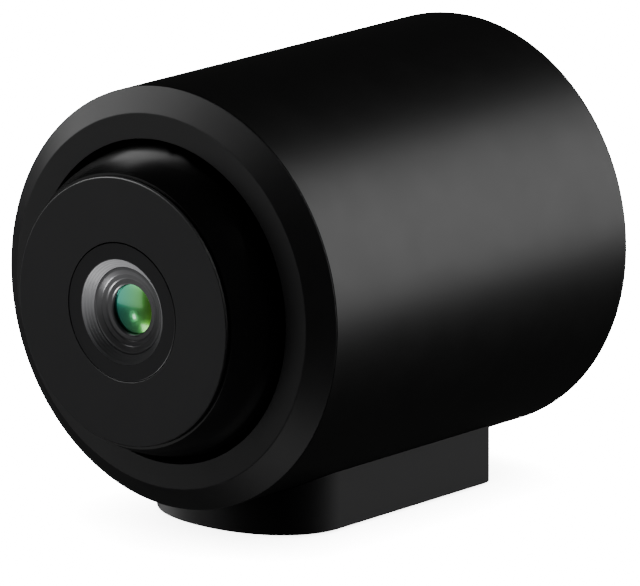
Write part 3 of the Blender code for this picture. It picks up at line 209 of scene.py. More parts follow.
class EffectBook:
    """Builds each shared shader node group once and keeps it."""

    def __init__(self) -> None:
        """Builds every group."""
        self.groups: dict[Effect, bpy.types.NodeTree] = {}
        self._grain()
        self._rings()
        self._wear()
        self._streaks()
        self._traces()
        self._weave()

    def use(self, graph: Graph, effect: Effect, sockets: dict) -> bpy.types.bpy_prop_collection:
        """Adds a group to a material's graph and returns its outputs."""
        return graph.add("ShaderNodeGroup", sockets, node_tree=self.groups[effect]).outputs

    def _open(self, effect: Effect, inputs: dict, outputs: tuple[str, ...]) -> tuple:
        """Starts a group.

        Args:
            effect: The effect that the group makes.
            inputs: The default of each named input, a number or a vector.
            outputs: The names of its number outputs.

        Returns:
            The graph, the group's given inputs and its output node.
        """
        tree = bpy.data.node_groups.new(effect.value, "ShaderNodeTree")
        for name, value in inputs.items():
            kind = "NodeSocketFloat" if isinstance(value, float) else "NodeSocketVector"
            tree.interface.new_socket(name, in_out="INPUT", socket_type=kind).default_value = value
        for name in outputs:
            tree.interface.new_socket(name, in_out="OUTPUT", socket_type="NodeSocketFloat")
        self.groups[effect] = tree
        graph = Graph(tree)
        return graph, graph.add("NodeGroupInput").outputs, graph.add("NodeGroupOutput")

    def _grain(self) -> None:
        """Fine grain for the relief, and a broad cloudy mask."""
        inputs = {"Scale": 6000.0, "Cloud Scale": 300.0}
        graph, given, out = self._open(Effect.GRAIN, inputs, ("Height", "Cloud"))
        place = graph.place()
        fine = graph.add("ShaderNodeTexNoise", {"Vector": place, "Scale": given["Scale"], "Detail": 3.0})
        broad = {"Vector": place, "Scale": given["Cloud Scale"], "Detail": 4.0, "Roughness": 0.6}
        cloud = graph.add("ShaderNodeTexNoise", broad)
        graph.join(fine.outputs["Fac"], out, "Height")
        graph.join(graph.spread(cloud.outputs["Fac"], -0.5, 1.5), out, "Cloud")

    def _rings(self) -> None:
        """Concentric marks about a line along Y, as a lathe leaves them."""
        inputs = {"Centre": (0.0, 0.0, 0.0), "Pitch": 0.0001, "Wander": 0.6, "Inner Radius": 0.0}
        graph, given, out = self._open(Effect.RINGS, inputs, ("Height", "Inside"))
        place = graph.place()
        offset = graph.add("ShaderNodeVectorMath", {0: place, 1: given["Centre"]}, operation="SUBTRACT")
        parts = graph.parts(offset.outputs[0])
        squares = [graph.maths("MULTIPLY", parts[name], parts[name]) for name in ("X", "Z")]
        out_from_axis = graph.maths("SQRT", graph.maths("ADD", *squares))
        line = graph.add("ShaderNodeCombineXYZ", {"X": out_from_axis, "Y": parts["Y"]}).outputs[0]
        uneven = graph.add("ShaderNodeTexNoise", {"Vector": line, "Scale": 2600.0, "Detail": 2.0})
        turns = graph.maths("MULTIPLY", graph.maths("DIVIDE", out_from_axis, given["Pitch"]), 2 * math.pi)
        wave = graph.maths("SINE", turns)
        sockets = {"Factor": given["Wander"], 2: graph.spread(wave, 0.5, 1.0), 3: uneven.outputs["Fac"]}
        graph.join(graph.add("ShaderNodeMix", sockets).outputs[0], out, "Height")
        inside = graph.maths("LESS_THAN", out_from_axis, given["Inner Radius"])
        graph.join(inside, out, "Inside")

    def _wear(self) -> None:
        """Broken-up lighter edges where the mesh's mark sits on a rounding: partly wear, partly a painted
        edge highlight.
        """
        graph, given, out = self._open(Effect.WEAR, {"Amount": 0.5, "Scale": 900.0}, ("Mask",))
        edge = graph.add("ShaderNodeAttribute", attribute_name="wear").outputs["Fac"]
        place = graph.place()
        patch = graph.add("ShaderNodeTexNoise", {"Vector": place, "Scale": given["Scale"], "Detail": 5.0})
        broken = graph.spread(patch.outputs["Fac"], -0.6, 2.0)
        mask = graph.maths("MULTIPLY", graph.maths("MULTIPLY", edge, broken), given["Amount"])
        graph.join(mask, out, "Mask")

    def _streaks(self) -> None:
        """Short brushed streaks, stretched by a direction vector."""
        graph, given, out = self._open(Effect.STREAKS, {"Stretch": (6000.0, 400.0, 6000.0)}, ("Height",))
        place = graph.place()
        drawn = graph.add("ShaderNodeVectorMath", {0: place, 1: given["Stretch"]}, operation="MULTIPLY")
        noise = graph.add("ShaderNodeTexNoise", {"Vector": drawn.outputs[0], "Scale": 1.0, "Detail": 3.0})
        graph.join(noise.outputs["Fac"], out, "Height")

    def _traces(self) -> None:
        """Copper tracks and round pads under a board's lacquer."""
        graph, given, out = self._open(Effect.TRACES, {"Pitch": 0.0006}, ("Mask",))
        place = graph.place()
        scale = graph.maths("DIVIDE", 1.0, given["Pitch"])
        parts = graph.parts(place)
        sideways = graph.maths("ADD", parts["X"], parts["Z"])
        across = graph.add("ShaderNodeCombineXYZ", {"X": sideways, "Y": parts["Y"]}).outputs[0]
        cell = graph.add("ShaderNodeTexVoronoi", {"Vector": across, "Scale": scale}, distance="CHEBYCHEV")
        track = graph.maths("GREATER_THAN", graph.maths("PINGPONG", cell.outputs["Distance"], 0.25), 0.19)
        pad = graph.maths("LESS_THAN", cell.outputs["Distance"], 0.1)
        graph.join(graph.maths("MAXIMUM", track, pad), out, "Mask")

    def _weave(self) -> None:
        """Crossing threads of an acoustic cloth."""
        graph, given, out = self._open(Effect.WEAVE, {"Pitch": 0.0002}, ("Height",))
        place = graph.place()
        parts = graph.parts(place)
        pace = graph.maths("DIVIDE", 2 * math.pi, given["Pitch"])
        waves = [graph.maths("SINE", graph.maths("MULTIPLY", parts[name], pace)) for name in ("X", "Z")]
        graph.join(graph.spread(graph.maths("MULTIPLY", *waves), 0.5, 1.0), out, "Height")


# ---------------------------------------------------------------- finishes


@dataclass(frozen=True)
class Finish:
    """An opaque finish with a fine grain, cloudy variation, and lighter edges that are partly wear and partly
    a painted edge highlight.
    """

    slot: str
    colour: Colour
    shade: Colour
    roughness: float = 0.45
    variation: float = 0.06
    metallic: float = 0.0
    grain: float = 6000.0
    relief: float = 1.5
    # Lighter colour on the marked roundings, and how much of it: partly edge wear, partly a painted edge
    # highlight.
    wear_and_highlight_colour: Colour = grey(0.09, 0.002)
    wear: float = 0.35

    def build(self, effects: EffectBook) -> bpy.types.Material:
        """Makes the material and returns it."""
        material = bpy.data.materials.new(self.slot)
        material.use_nodes = True
        graph = Graph(material.node_tree)
        shader = material.node_tree.nodes["Principled BSDF"]
        grain = effects.use(graph, Effect.GRAIN, {"Scale": self.grain})
        edge = effects.use(graph, Effect.WEAR, {"Amount": self.wear})
        height, mask = self.pattern(graph, effects, grain["Height"], grain["Cloud"])
        base = graph.between(mask, (*self.colour, 1.0), (*self.shade, 1.0))
        # Painted edge highlight and wear: the marked roundings take the lighter colour.
        graph.join(graph.between(edge["Mask"], base, (*self.wear_and_highlight_colour, 1.0)), shader, "Base Color")
        rough = graph.spread(grain["Cloud"], self.roughness - self.variation, self.roughness + self.variation)
        graph.join(rough, shader, "Roughness")
        shader.inputs["Metallic"].default_value = self.metallic
        sockets = {"Height": height, "Strength": 1.0, "Distance": self.relief * MICRON}
        graph.join(graph.add("ShaderNodeBump", sockets).outputs["Normal"], shader, "Normal")
        self.dress(graph, shader)
        return material

    def pattern(self, graph: Graph, effects: EffectBook, grain: Socket, cloud: Socket) -> Sockets:
        """Says what the relief and the colour follow.

        Args:
            graph: The material's graph.
            effects: The shared groups.
            grain: The fine grain's height.
            cloud: The broad mask.

        Returns:
            The height for the relief, and the mask between the two colours.
        """
        return grain, cloud

    def dress(self, graph: Graph, shader: bpy.types.Node) -> None:
        """Sets what only some finishes have."""


@dataclass(frozen=True)
class TurnedFinish(Finish):
    """A machined finish with concentric marks about an axis along Y, and its shade colour inside a radius."""

    centre: Point = (0.0, 0.0, 0.0)
    pitch: float = 0.11
    wander: float = 0.6
    inner: float = 0.0

    def pattern(self, graph: Graph, effects: EffectBook, grain: Socket, cloud: Socket) -> Sockets:
        """Adds the rings to the grain. See Finish.pattern."""
        sockets = {"Centre": self.centre, "Pitch": self.pitch * MM, "Wander": self.wander}
        sockets["Inner Radius"] = self.inner * MM
        rings = effects.use(graph, Effect.RINGS, sockets)
        height = graph.maths("ADD", rings["Height"], graph.maths("MULTIPLY", grain, 0.5))
        return height, rings["Inside"] if self.inner else cloud


@dataclass(frozen=True)
class PatternedFinish(Finish):
    """A finish whose relief and tone both follow one shared pattern."""

    def drawn(self) -> tuple[Effect, dict]:
        """The pattern and its inputs."""
        raise NotImplementedError

    def pattern(self, graph: Graph, effects: EffectBook, grain: Socket, cloud: Socket) -> Sockets:
        """Lets the pattern set the relief and the tone. See Finish.pattern."""
        lines = effects.use(graph, *self.drawn())[0]
        return lines, lines


@dataclass(frozen=True)
class BrushedFinish(PatternedFinish):
    """A metal finish with short streaks."""

    stretch: Point = (6000.0, 400.0, 6000.0)

    def drawn(self) -> tuple[Effect, dict]:
        """The streaks and how they are stretched."""
        return Effect.STREAKS, {"Stretch": self.stretch}


@dataclass(frozen=True)
class BoardFinish(PatternedFinish):
    """A lacquered circuit board."""

    pitch: float = 0.7

    def drawn(self) -> tuple[Effect, dict]:
        """The tracks and how far apart they are."""
        return Effect.TRACES, {"Pitch": self.pitch * MM}


@dataclass(frozen=True)
class ClothFinish(PatternedFinish):
    """A woven acoustic cloth."""

    pitch: float = 0.22

    def drawn(self) -> tuple[Effect, dict]:
        """The threads and how far apart they are."""
        return Effect.WEAVE, {"Pitch": self.pitch * MM}


@dataclass(frozen=True)
class ClearFinish(Finish):
    """Glass or clear plastic."""

    index: float = 1.5
    transmission: float = 1.0

    def dress(self, graph: Graph, shader: bpy.types.Node) -> None:
        """Lets light through."""
        shader.inputs["IOR"].default_value = self.index
        shader.inputs["Transmission Weight"].default_value = self.transmission


@dataclass(frozen=True)
class CoatingFinish(Finish):
    """The coated front glass, whose tint runs from one side to the other."""

    centre: Point = (0.0, 0.0, 0.0)
    reach: float = 1.9

    def pattern(self, graph: Graph, effects: EffectBook, grain: Socket, cloud: Socket) -> Sockets:
        """Runs the tint across the glass. See Finish.pattern."""
        place = graph.place()
        offset = graph.add("ShaderNodeVectorMath", {0: place, 1: self.centre}, operation="SUBTRACT")
        across = graph.parts(offset.outputs[0])["X"]
        sockets = {"Value": across, "From Min": -self.reach * MM, "From Max": self.reach * MM}
        return grain, graph.add("ShaderNodeMapRange", sockets).outputs["Result"]

    def dress(self, graph: Graph, shader: bpy.types.Node) -> None:
        """Adds the clear surface over the coating."""
        shader.inputs["Coat Weight"].default_value = 1.0
        shader.inputs["Coat Roughness"].default_value = 0.02


class FinishBook:
    """Holds the material of each slot, and makes it when it is first asked for."""

    def __init__(self, layout: Layout) -> None:
        """Lists the finishes, whose rings are centred on the layout's axes."""
        self.effects = EffectBook()
        self.made: dict[str, bpy.types.Material] = {}
        rim = tuple(layout.rim)
        pivot = tuple(layout.pivot)
        steel = grey(0.30, 0.01)
        tin = (0.55, 0.55, 0.54)
        rows = (
            Finish("satin_black", grey(0.005), grey(0.007), 0.41, 0.02, grain=9000.0, relief=0.8),
            TurnedFinish(
                "bezel_black", grey(0.028, 0.001), grey(0.033, 0.001), 0.38, 0.03, centre=rim, relief=0.5,
            ),
            Finish(
                "shell_black", grey(0.010, 0.001), grey(0.013, 0.001), 0.24, 0.03, grain=9000.0, relief=0.4,
            ),
            TurnedFinish(
                "plate_black", grey(0.010, 0.001), grey(0.013, 0.001), 0.46, 0.02, centre=pivot, relief=0.3,
            ),
            Finish(
                "base_black", grey(0.016, 0.001), grey(0.020, 0.001), 0.50, 0.04, grain=5000.0, relief=2.5,
            ),
            Finish(
                "cover_black", grey(0.018, 0.001), grey(0.024, 0.001), 0.50, 0.05, grain=4500.0, relief=4.0,
            ),
            Finish("inner_black", grey(0.018), grey(0.026), 0.60, 0.06, grain=3500.0, relief=4.0),
            Finish("rubber_black", grey(0.014), grey(0.020), 0.80, 0.08, grain=3000.0, relief=6.0),
            Finish("pad_foam", grey(0.022, 0.001), grey(0.034, 0.001), 0.92, 0.05, grain=2600.0, relief=60.0),
            BrushedFinish("screw_steel", grey(0.07, 0.003), grey(0.11, 0.004), 0.34, 0.05, 1.0, relief=1.0),
            BrushedFinish("pin_steel", grey(0.10), grey(0.16), 0.35, 0.05, 1.0, relief=1.0),
            BrushedFinish("magnet_nickel", steel, tin, 0.25, 0.05, 1.0, relief=0.6),
            TurnedFinish(
                "lens_black", grey(0.006, 0.001), grey(0.30, 0.01), 0.46, 0.04, centre=pivot,
                pitch=0.16, inner=3.97,
            ),
            TurnedFinish(
                "lens_ring_grey", grey(0.16, 0.005), grey(0.21, 0.006), 0.30, 0.04, 0.5,
                centre=pivot, pitch=0.09,
            ),
            CoatingFinish(
                "coated_glass", (0.01, 0.42, 0.34), (0.16, 0.48, 0.01), 0.17, 0.02, 1.0,
                relief=0.0, wear=0.0, centre=pivot,
            ),
            ClearFinish(
                "filter_glass", (0.55, 0.80, 0.85), (0.50, 0.76, 0.86), 0.06, 0.02, relief=0.1, wear=0.0,
            ),
            ClearFinish(
                "light_pipe_clear", (0.72, 0.76, 0.78), (0.80, 0.83, 0.85), 0.28, 0.04, relief=1.0,
                transmission=0.6,
            ),
            BrushedFinish(
                "spacer_brass", (0.62, 0.42, 0.14), (0.72, 0.52, 0.22), 0.30, 0.05, 1.0, relief=0.8,
            ),
            Finish(
                "holder_plastic", grey(0.018, 0.001), grey(0.026, 0.002), 0.50, 0.06, grain=4000.0,
                relief=4.0,
            ),
            BoardFinish(
                "sensor_silicon", (0.05, 0.06, 0.10), (0.10, 0.07, 0.16), 0.22, 0.05, 0.5,
                relief=0.4, pitch=0.3,
            ),
            BoardFinish("board_green", (0.012, 0.10, 0.04), (0.03, 0.20, 0.08), 0.38, 0.06, relief=12.0),
            Finish(
                "chip_black", grey(0.016, 0.001), grey(0.026, 0.001), 0.50, 0.06, grain=5000.0, relief=3.0,
            ),
            BrushedFinish("shield_tin", tin, (0.66, 0.66, 0.64), 0.32, 0.06, 1.0, relief=1.5),
            Finish(
                "thermal_grey", (0.30, 0.32, 0.38), (0.38, 0.40, 0.46), 0.85, 0.06, grain=2500.0, relief=20.0,
            ),
            BrushedFinish(
                "sink_aluminium", tin, (0.66, 0.67, 0.70), 0.34, 0.05, 1.0, stretch=(400.0, 6000.0, 6000.0),
            ),
            BoardFinish(
                "flex_film", (0.42, 0.20, 0.04), (0.60, 0.34, 0.10), 0.34, 0.05, relief=6.0, pitch=0.5,
            ),
            Finish(
                "connector_beige", (0.50, 0.46, 0.37), (0.58, 0.53, 0.43), 0.52, 0.06,
                grain=4000.0, relief=3.0,
            ),
            BrushedFinish("port_steel", grey(0.46, 0.01), grey(0.60, 0.01), 0.28, 0.05, 1.0, relief=1.0),
            Finish("tongue_black", grey(0.014), grey(0.020), 0.42, 0.05, grain=5000.0, relief=2.0),
            Finish(
                "card_black", grey(0.020, 0.002), grey(0.030, 0.002), 0.42, 0.05, grain=5000.0, relief=3.0,
            ),
            Finish("led_white", (0.74, 0.76, 0.70), (0.84, 0.85, 0.80), 0.32, 0.05, grain=3000.0, relief=2.0),
            Finish(
                "battery_wrap", (0.12, 0.13, 0.16), (0.18, 0.19, 0.22), 0.34, 0.08, 0.3,
                grain=700.0, relief=30.0,
            ),
            Finish(
                "tray_plastic", (0.07, 0.07, 0.08), (0.10, 0.10, 0.11), 0.55, 0.06, grain=4000.0, relief=4.0,
            ),
            Finish(
                "button_black", grey(0.020, 0.001), grey(0.028, 0.001), 0.46, 0.05, grain=5000.0, relief=3.0,
            ),
            ClothFinish("speaker_black", grey(0.012), grey(0.045), 0.80, 0.05, relief=30.0),
        )
        self.finishes = {row.slot: row for row in rows}

    def of(self, slot: str) -> bpy.types.Material:
        """The material of a slot."""
        if slot not in self.made:
            self.made[slot] = self.finishes[slot].build(self.effects)
        return self.made[slot]


# ---------------------------------------------------------------- geometry nodes


def settle(piece: Piece) -> Piece:
    """Turns a piece and its modifiers into a plain mesh, and returns it."""
    graph = bpy.context.evaluated_depsgraph_get()
    whole = piece.evaluated_get(graph)
    made = bpy.data.meshes.new_from_object(whole, preserve_all_data_layers=True, depsgraph=graph)
    piece.modifiers.clear()
    piece.data = made
    return piece


class GeometryTree:
    """A Geometry Nodes tree with named inputs, built once and used on many pieces."""

    def __init__(self, name: str, inputs: dict[str, str]) -> None:
        """Starts the tree.

        Args:
            name: The tree's name.
            inputs: The kind of each named input. A material is added to them.
        """
        self.tree = bpy.data.node_groups.new(name, "GeometryNodeTree")
        self.tree.interface.new_socket("Geometry", in_out="INPUT", socket_type="NodeSocketGeometry")
        for label, kind in (inputs | {"Material": "Material"}).items():
            self.tree.interface.new_socket(label, in_out="INPUT", socket_type=f"NodeSocket{kind}")
        self.tree.interface.new_socket("Geometry", in_out="OUTPUT", socket_type="NodeSocketGeometry")
        self.graph = Graph(self.tree)
        self.given = self.graph.add("NodeGroupInput").outputs

    def close(self, geometry: Socket) -> None:
        """Ends the tree in real geometry with its material."""
        real = self.graph.add("GeometryNodeRealizeInstances", {"Geometry": geometry}).outputs[0]
        sockets = {"Geometry": real, "Material": self.given["Material"]}
        painted = self.graph.add("GeometryNodeSetMaterial", sockets).outputs[0]
        self.graph.add("NodeGroupOutput", {"Geometry": painted})

    def run(self, piece: Piece, values: dict[str, object]) -> Piece:
        """Runs the tree on a piece and makes the result plain.

        Args:
            piece: The object whose mesh the tree starts from.
            values: What goes into the named inputs.

        Returns:
            The piece, with its new mesh.
        """
        inputs = (item for item in self.tree.interface.items_tree if item.in_out == "INPUT")
        identifiers = {item.name: item.identifier for item in inputs}
        modifier = piece.modifiers.new(self.tree.name, "NODES")
        modifier.node_group = self.tree
        for label, value in values.items():
            modifier[identifiers[label]] = value
        return settle(piece)


class TurningTree(GeometryTree):
    """Turns an outline, given as a chain of edges, about an axis."""

    TURN_RADIUS = 0.05

    def __init__(self) -> None:
        """Builds the tree."""
        super().__init__("turned_outline", {"Segments": "Int", "Turn Radius": "Float"})
        given, add = self.given, self.graph.add
        outline = add("GeometryNodeMeshToCurve", {"Mesh": given["Geometry"]}).outputs[0]
        circle = {"Resolution": given["Segments"], "Radius": given["Turn Radius"]}
        path = add("GeometryNodeCurvePrimitiveCircle", circle).outputs["Curve"]
        turned = add("GeometryNodeCurveToMesh", {"Curve": path, "Profile Curve": outline}).outputs[0]
        self.close(add("GeometryNodeMergeByDistance", {"Geometry": turned, "Distance": 1e-7}).outputs[0])


class RingTree(GeometryTree):
    """Sets copies of a shape round a circle about Y, each spun about its own axis."""

    def __init__(self) -> None:
        """Builds the tree."""
        inputs = {"Count": "Int", "Radius": "Float", "First Angle": "Float", "Spin": "Float", "Seed": "Int"}
        super().__init__("ring_of_copies", inputs)
        given, add = self.given, self.graph.add
        ring = {"Vertices": given["Count"], "Radius": given["Radius"]}
        circle = add("GeometryNodeMeshCircle", ring).outputs[0]
        start = add("ShaderNodeCombineXYZ", {"Z": given["First Angle"]}).outputs[0]
        started = add("GeometryNodeTransform", {"Geometry": circle, "Rotation": start}).outputs[0]
        stood = {"Geometry": started, "Rotation": (math.pi / 2, 0.0, 0.0)}
        upright = add("GeometryNodeTransform", stood).outputs[0]
        range_of_spin = {2: 0.0, 3: given["Spin"], "Seed": given["Seed"]}
        spin = add("FunctionNodeRandomValue", range_of_spin, data_type="FLOAT").outputs[1]
        turn = add("ShaderNodeCombineXYZ", {"Y": spin}).outputs[0]
        rotation = add("FunctionNodeEulerToRotation", {"Euler": turn}).outputs[0]
        sockets = {"Points": upright, "Instance": given["Geometry"], "Rotation": rotation}
        self.close(add("GeometryNodeInstanceOnPoints", sockets).outputs[0])


class RowTree(GeometryTree):
    """Sets copies of a shape in a straight row."""

    def __init__(self) -> None:
        """Builds the tree."""
        super().__init__("row_of_copies", {"Count": "Int", "Start": "Vector", "Step": "Vector"})
        given, add = self.given, self.graph.add
        sockets = {"Count": given["Count"], "Start Location": given["Start"], "Offset": given["Step"]}
        line = add("GeometryNodeMeshLine", sockets).outputs[0]
        copies = add("GeometryNodeInstanceOnPoints", {"Points": line, "Instance": given["Geometry"]})
        self.close(copies.outputs[0])


# ---------------------------------------------------------------- shapes


@dataclass(frozen=True)
class Corner:
    """A corner of a turned outline: how far out, how far along, and how much it is rounded."""

    out: float
    along: float
    bevel: float = 0.0


@dataclass(frozen=True)
class RoundedBox:
    """A rectangle with rounded corners, which can be a round-ended slot or a circle."""

    width: float
    height: float
    corner: float
    x: float = 0.0
    z: float = 0.0
    steps: int = 6

    @classmethod
    def slot(cls, width: float, height: float, x: float = 0.0, z: float = 0.0) -> "RoundedBox":
        """A slot with half-round ends."""
        return cls(width, height, height / 2, x, z, 12)

    @classmethod
    def circle(cls, radius: float, x: float = 0.0, z: float = 0.0) -> "RoundedBox":
        """A circle."""
        return cls(2 * radius, 2 * radius, radius, x, z, 12)

    def outline(self, grow: float) -> list[Pair]:
        """The outline, moved outwards by grow."""
        corner = max(self.corner + grow, 0.005)
        reach = self.width / 2 + grow - corner
        rise = self.height / 2 + grow - corner
        points = []
        for number, (side, top) in enumerate(((1, 1), (-1, 1), (-1, -1), (1, -1))):
            for step in range(self.steps + 1):
                angle = (number + step / self.steps) * math.pi / 2
                x = self.x + side * reach + corner * math.cos(angle)
                points.append((x, self.z + top * rise + corner * math.sin(angle)))
        return points


@dataclass(frozen=True)
class FootOutline:
    """The foot seen from above: square behind, and round-nosed in front."""

    width: float
    front: float
    back: float
    nose: float
    power: float = 2.15
    corner: float = 0.35

    def outline(self, grow: float) -> list[Pair]:
        """The outline, moved outwards by grow."""
        half = self.width / 2 + grow
        back = self.back + grow
        nose_start = self.front + self.nose
        points = []
        for side in (1, -1):
            for step in range(7):
                share = step / 6 if side > 0 else 1 - step / 6
                angle = share * math.pi / 2
                x = half - self.corner + self.corner * math.cos(angle)
                points.append((side * x, back - self.corner + self.corner * math.sin(angle)))
        steps = 72
        for step in range(steps + 1):
            angle = math.pi * step / steps
            across, ahead = math.cos(angle), math.sin(angle)
            x = -math.copysign(abs(across) ** (2 / self.power), across) * half
            points.append((x, nose_start - abs(ahead) ** (2 / self.power) * (self.nose + grow)))
        return points


def softened(corners: list[Corner], closed: bool, steps: int = 3) -> list[tuple[float, float, float]]:
    """Rounds the corners of a turned outline.

    Args:
        corners: The outline's corners, in order.
        closed: False if the outline starts and ends on the axis.
        steps: How many flats each rounding has.

    Returns:
        Points as (out, along, mark), where the mark is 1 on a rounding and 0 elsewhere; it places the edge
        wear and painted edge highlight.
    """
    points = []
    for index, corner in enumerate(corners):
        is_end = not closed and index in (0, len(corners) - 1)
        if corner.bevel <= 0 or is_end:
            points.append((corner.out, corner.along, 0.0))
            continue
        here = Vector((corner.out, corner.along))
        before = corners[index - 1]
        after = corners[(index + 1) % len(corners)]
        back = Vector((before.out, before.along)) - here
        ahead = Vector((after.out, after.along)) - here
        start = here + back.normalized() * min(corner.bevel, 0.48 * back.length)
        end = here + ahead.normalized() * min(corner.bevel, 0.48 * ahead.length)
        for step in range(steps + 1):
            share = step / steps
            point = (1 - share) ** 2 * start + 2 * share * (1 - share) * here + share**2 * end
            points.append((point.x, point.y, 0.0 if step in (0, steps) else 1.0))
    return points


def ball_corners(radius: float, start: float, end: float, steps: int) -> list[Corner]:
    """Points on a ball about the tilt axis, from one distance along the axis to another."""
    first, last = math.asin(start / radius), math.asin(end / radius)
    angles = [first + (last - first) * step / steps for step in range(steps + 1)]
    return [Corner(radius * math.cos(angle), radius * math.sin(angle)) for angle in angles]


def new_object(name: str, build: bmesh.types.BMesh) -> Piece:
    """Makes an object from a bmesh, and frees the bmesh."""
    mesh = bpy.data.meshes.new(name)
    build.to_mesh(mesh)
    build.free()
    made = bpy.data.objects.new(name, mesh)
    bpy.context.scene.collection.objects.link(made)
    return made


class Shaper:
    """Makes the meshes of turned, pushed and repeated shapes, in metres, in the shared frame."""

    def __init__(self, finishes: FinishBook) -> None:
        """Builds the Geometry Nodes trees."""
        self.finishes = finishes
        self.turning = TurningTree()
        self.ring = RingTree()
        self.row = RowTree()

    def turned(
        self, name: str, corners: list[Corner], slot: str, place: Vector, segments: int = 96,
        closed: bool = True, axis: Axis = Axis.Y,
    ) -> Piece:
        """Turns an outline about an axis.

        Args:
            name: The piece's name.
            corners: The outline, in millimetres.
            slot: The slot of its finish.
            place: Where the outline's zero is, in metres.
            segments: How many flats there are round the axis.
            closed: False if the outline starts and ends on the axis.
            axis: The direction of the axis.

        Returns:
            The piece.
        """
        points = softened(corners, closed)
        shift = self.turning.TURN_RADIUS
        mesh = bpy.data.meshes.new(name)
        last = len(points) if closed else len(points) - 1
        edges = [(index, (index + 1) % len(points)) for index in range(last)]
        mesh.from_pydata([(out * MM - shift, along * MM, 0.0) for out, along, _ in points], edges, [])
        # Marks the roundings where the edge wear and painted edge highlight go.
        wear = mesh.attributes.new("wear", "FLOAT", "POINT")
        wear.data.foreach_set("value", [point[2] for point in points])
        made = bpy.data.objects.new(name, mesh)
        bpy.context.scene.collection.objects.link(made)
        values = {"Segments": segments, "Turn Radius": shift, "Material": self.finishes.of(slot)}
        self.turning.run(made, values)
        build = bmesh.new()
        build.from_mesh(made.data)
        for vertex in build.verts:
            spot = (vertex.co.x, -vertex.co.z, vertex.co.y)
            vertex.co = Vector([spot[index] for index in axis.value]) + place
        bmesh.ops.recalc_face_normals(build, faces=build.faces)
        build.to_mesh(made.data)
        build.free()
        return made

    def pushed(
        self, name: str, shape: RoundedBox | FootOutline, levels: list[Pair], slot: str, place: Vector,
        axis: Axis = Axis.Y,
    ) -> Piece:
        """Pushes an outline along an axis through levels that can be larger or smaller.

        Args:
            name: The piece's name.
            shape: The outline.
            levels: Each level's distance along the axis and how far its outline has grown.
            slot: The slot of its finish.
            place: Where zero is, in metres.
            axis: The direction of the push, Y or Z.

        Returns:
            The piece.
        """
        build = bmesh.new()
        loops = []
        for along, grow in levels:
            loop = []
            for across, up in shape.outline(grow):
                spot = {Axis.Y: (across, along, up), Axis.Z: (across, up, along)}[axis]
                loop.append(build.verts.new(Vector(spot) * MM + place))
            loops.append(loop)
        for low, high in zip(loops, loops[1:]):
            for index, vertex in enumerate(low):
                following = (index + 1) % len(low)
                build.faces.new((vertex, low[following], high[following], high[index]))
        build.faces.new(loops[0])
        build.faces.new(loops[-1])
        bmesh.ops.recalc_face_normals(build, faces=build.faces)
        if build.calc_volume(signed=True) < 0:
            bmesh.ops.reverse_faces(build, faces=build.faces)
        made = new_object(name, build)
        made.data.materials.append(self.finishes.of(slot))
        return made

    def ringed(self, piece: Piece, slot: str, count: int, radius: float, **more: float) -> None:
        """Repeats a piece that stands at the origin round a circle about Y.

        Args:
            piece: The piece.
            slot: The slot of its finish.
            count: How many copies there are.
            radius: The circle's radius.
            more: The tree's other inputs: first_angle, spin and seed.
        """
        values = {"Count": count, "Radius": radius * MM, "Material": self.finishes.of(slot)}
        values |= {name.replace("_", " ").title(): value for name, value in more.items()}
        self.ring.run(piece, values)

    def rowed(self, piece: Piece, slot: str, count: int, start: Point, step: Point) -> None:
        """Repeats a piece in a straight row, from a start by equal steps, in metres."""
        values = {"Count": count, "Start": start, "Step": step, "Material": self.finishes.of(slot)}
        self.row.run(piece, values)

    def spaced(self, piece: Piece, slot: str, count: int, pitch: float) -> None:
        """Repeats a piece in a row across X, with the row's middle where the piece was."""
        first = -(count - 1) / 2 * pitch * MM
        self.rowed(piece, slot, count, (first, 0.0, 0.0), (pitch * MM, 0.0, 0.0))

    def combined(self, piece: Piece, tools: list[Piece], operation: str) -> Piece:
        """Cuts tools out of a piece, or joins them to it, and removes them.

        Args:
            piece: The piece to change.
            tools: The shapes to use.
            operation: DIFFERENCE or UNION.

        Returns:
            The piece.
        """
        group = bpy.data.collections.new(f"{piece.name}_tools")
        for tool in tools:
            group.objects.link(tool)
        step = piece.modifiers.new("step", "BOOLEAN")
        step.operation = operation
        step.operand_type = "COLLECTION"
        step.collection = group
        step.solver = "EXACT"
        settle(piece)
        for tool in tools:
            bpy.data.objects.remove(tool)
        bpy.data.collections.remove(group)
        material = piece.data.materials[0]
        piece.data.materials.clear()
        piece.data.materials.append(material)
        return piece

    def unified(self, piece: Piece, angle: float = 0.5) -> Piece:
        """Merges the faces that lie in one plane, so no slivers are left beside a cut."""
        merge = piece.modifiers.new("planes", "DECIMATE")
        merge.decimate_type = "DISSOLVE"
        merge.angle_limit = math.radians(angle)
        return settle(piece)

    def polished(self, piece: Piece, angle: float = 32.0) -> Piece:
        """Shades a piece smooth between its sharp edges, with true normals on its flats."""
        piece.data.shade_smooth()
        piece.data.set_sharp_from_angle(angle=math.radians(angle))
        weigh = piece.modifiers.new("flats", "WEIGHTED_NORMAL")
        weigh.weight = 100
        weigh.keep_sharp = True
        return settle(piece)


@dataclass
class SubAssembly:
    """What each sub-assembly shares: its finishes, its shaper and the layout."""

    layout: Layout
    finishes: FinishBook
    shaper: Shaper

    def hand_over(self, piece: Piece, body: Body, slot: str, *nodes: str) -> None:
        """Polishes a finished piece and puts it on its body.

        Args:
            piece: The piece, in place.
            body: The body that it moves with.
            slot: The slot of its finish. Not used.
            nodes: The CAD nodes that it stands for.
        """
        self.shaper.polished(piece)
        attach(piece, body.value)
        if nodes:
            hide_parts(*nodes)
        LOG.info("%s: %d faces on %s", piece.name, len(piece.data.polygons), body.value)

    def bored(
        self, name: str, radius: float, start: float, end: float, place: Vector, axis: Axis = Axis.Y
    ) -> Piece:
        """A round cutter between two distances along an axis."""
        corners = [Corner(0.0, start), Corner(radius, start), Corner(radius, end), Corner(0.0, end)]
        return self.shaper.turned(name, corners, "inner_black", place, 32, False, axis)


# ---------------------------------------------------------------- housing


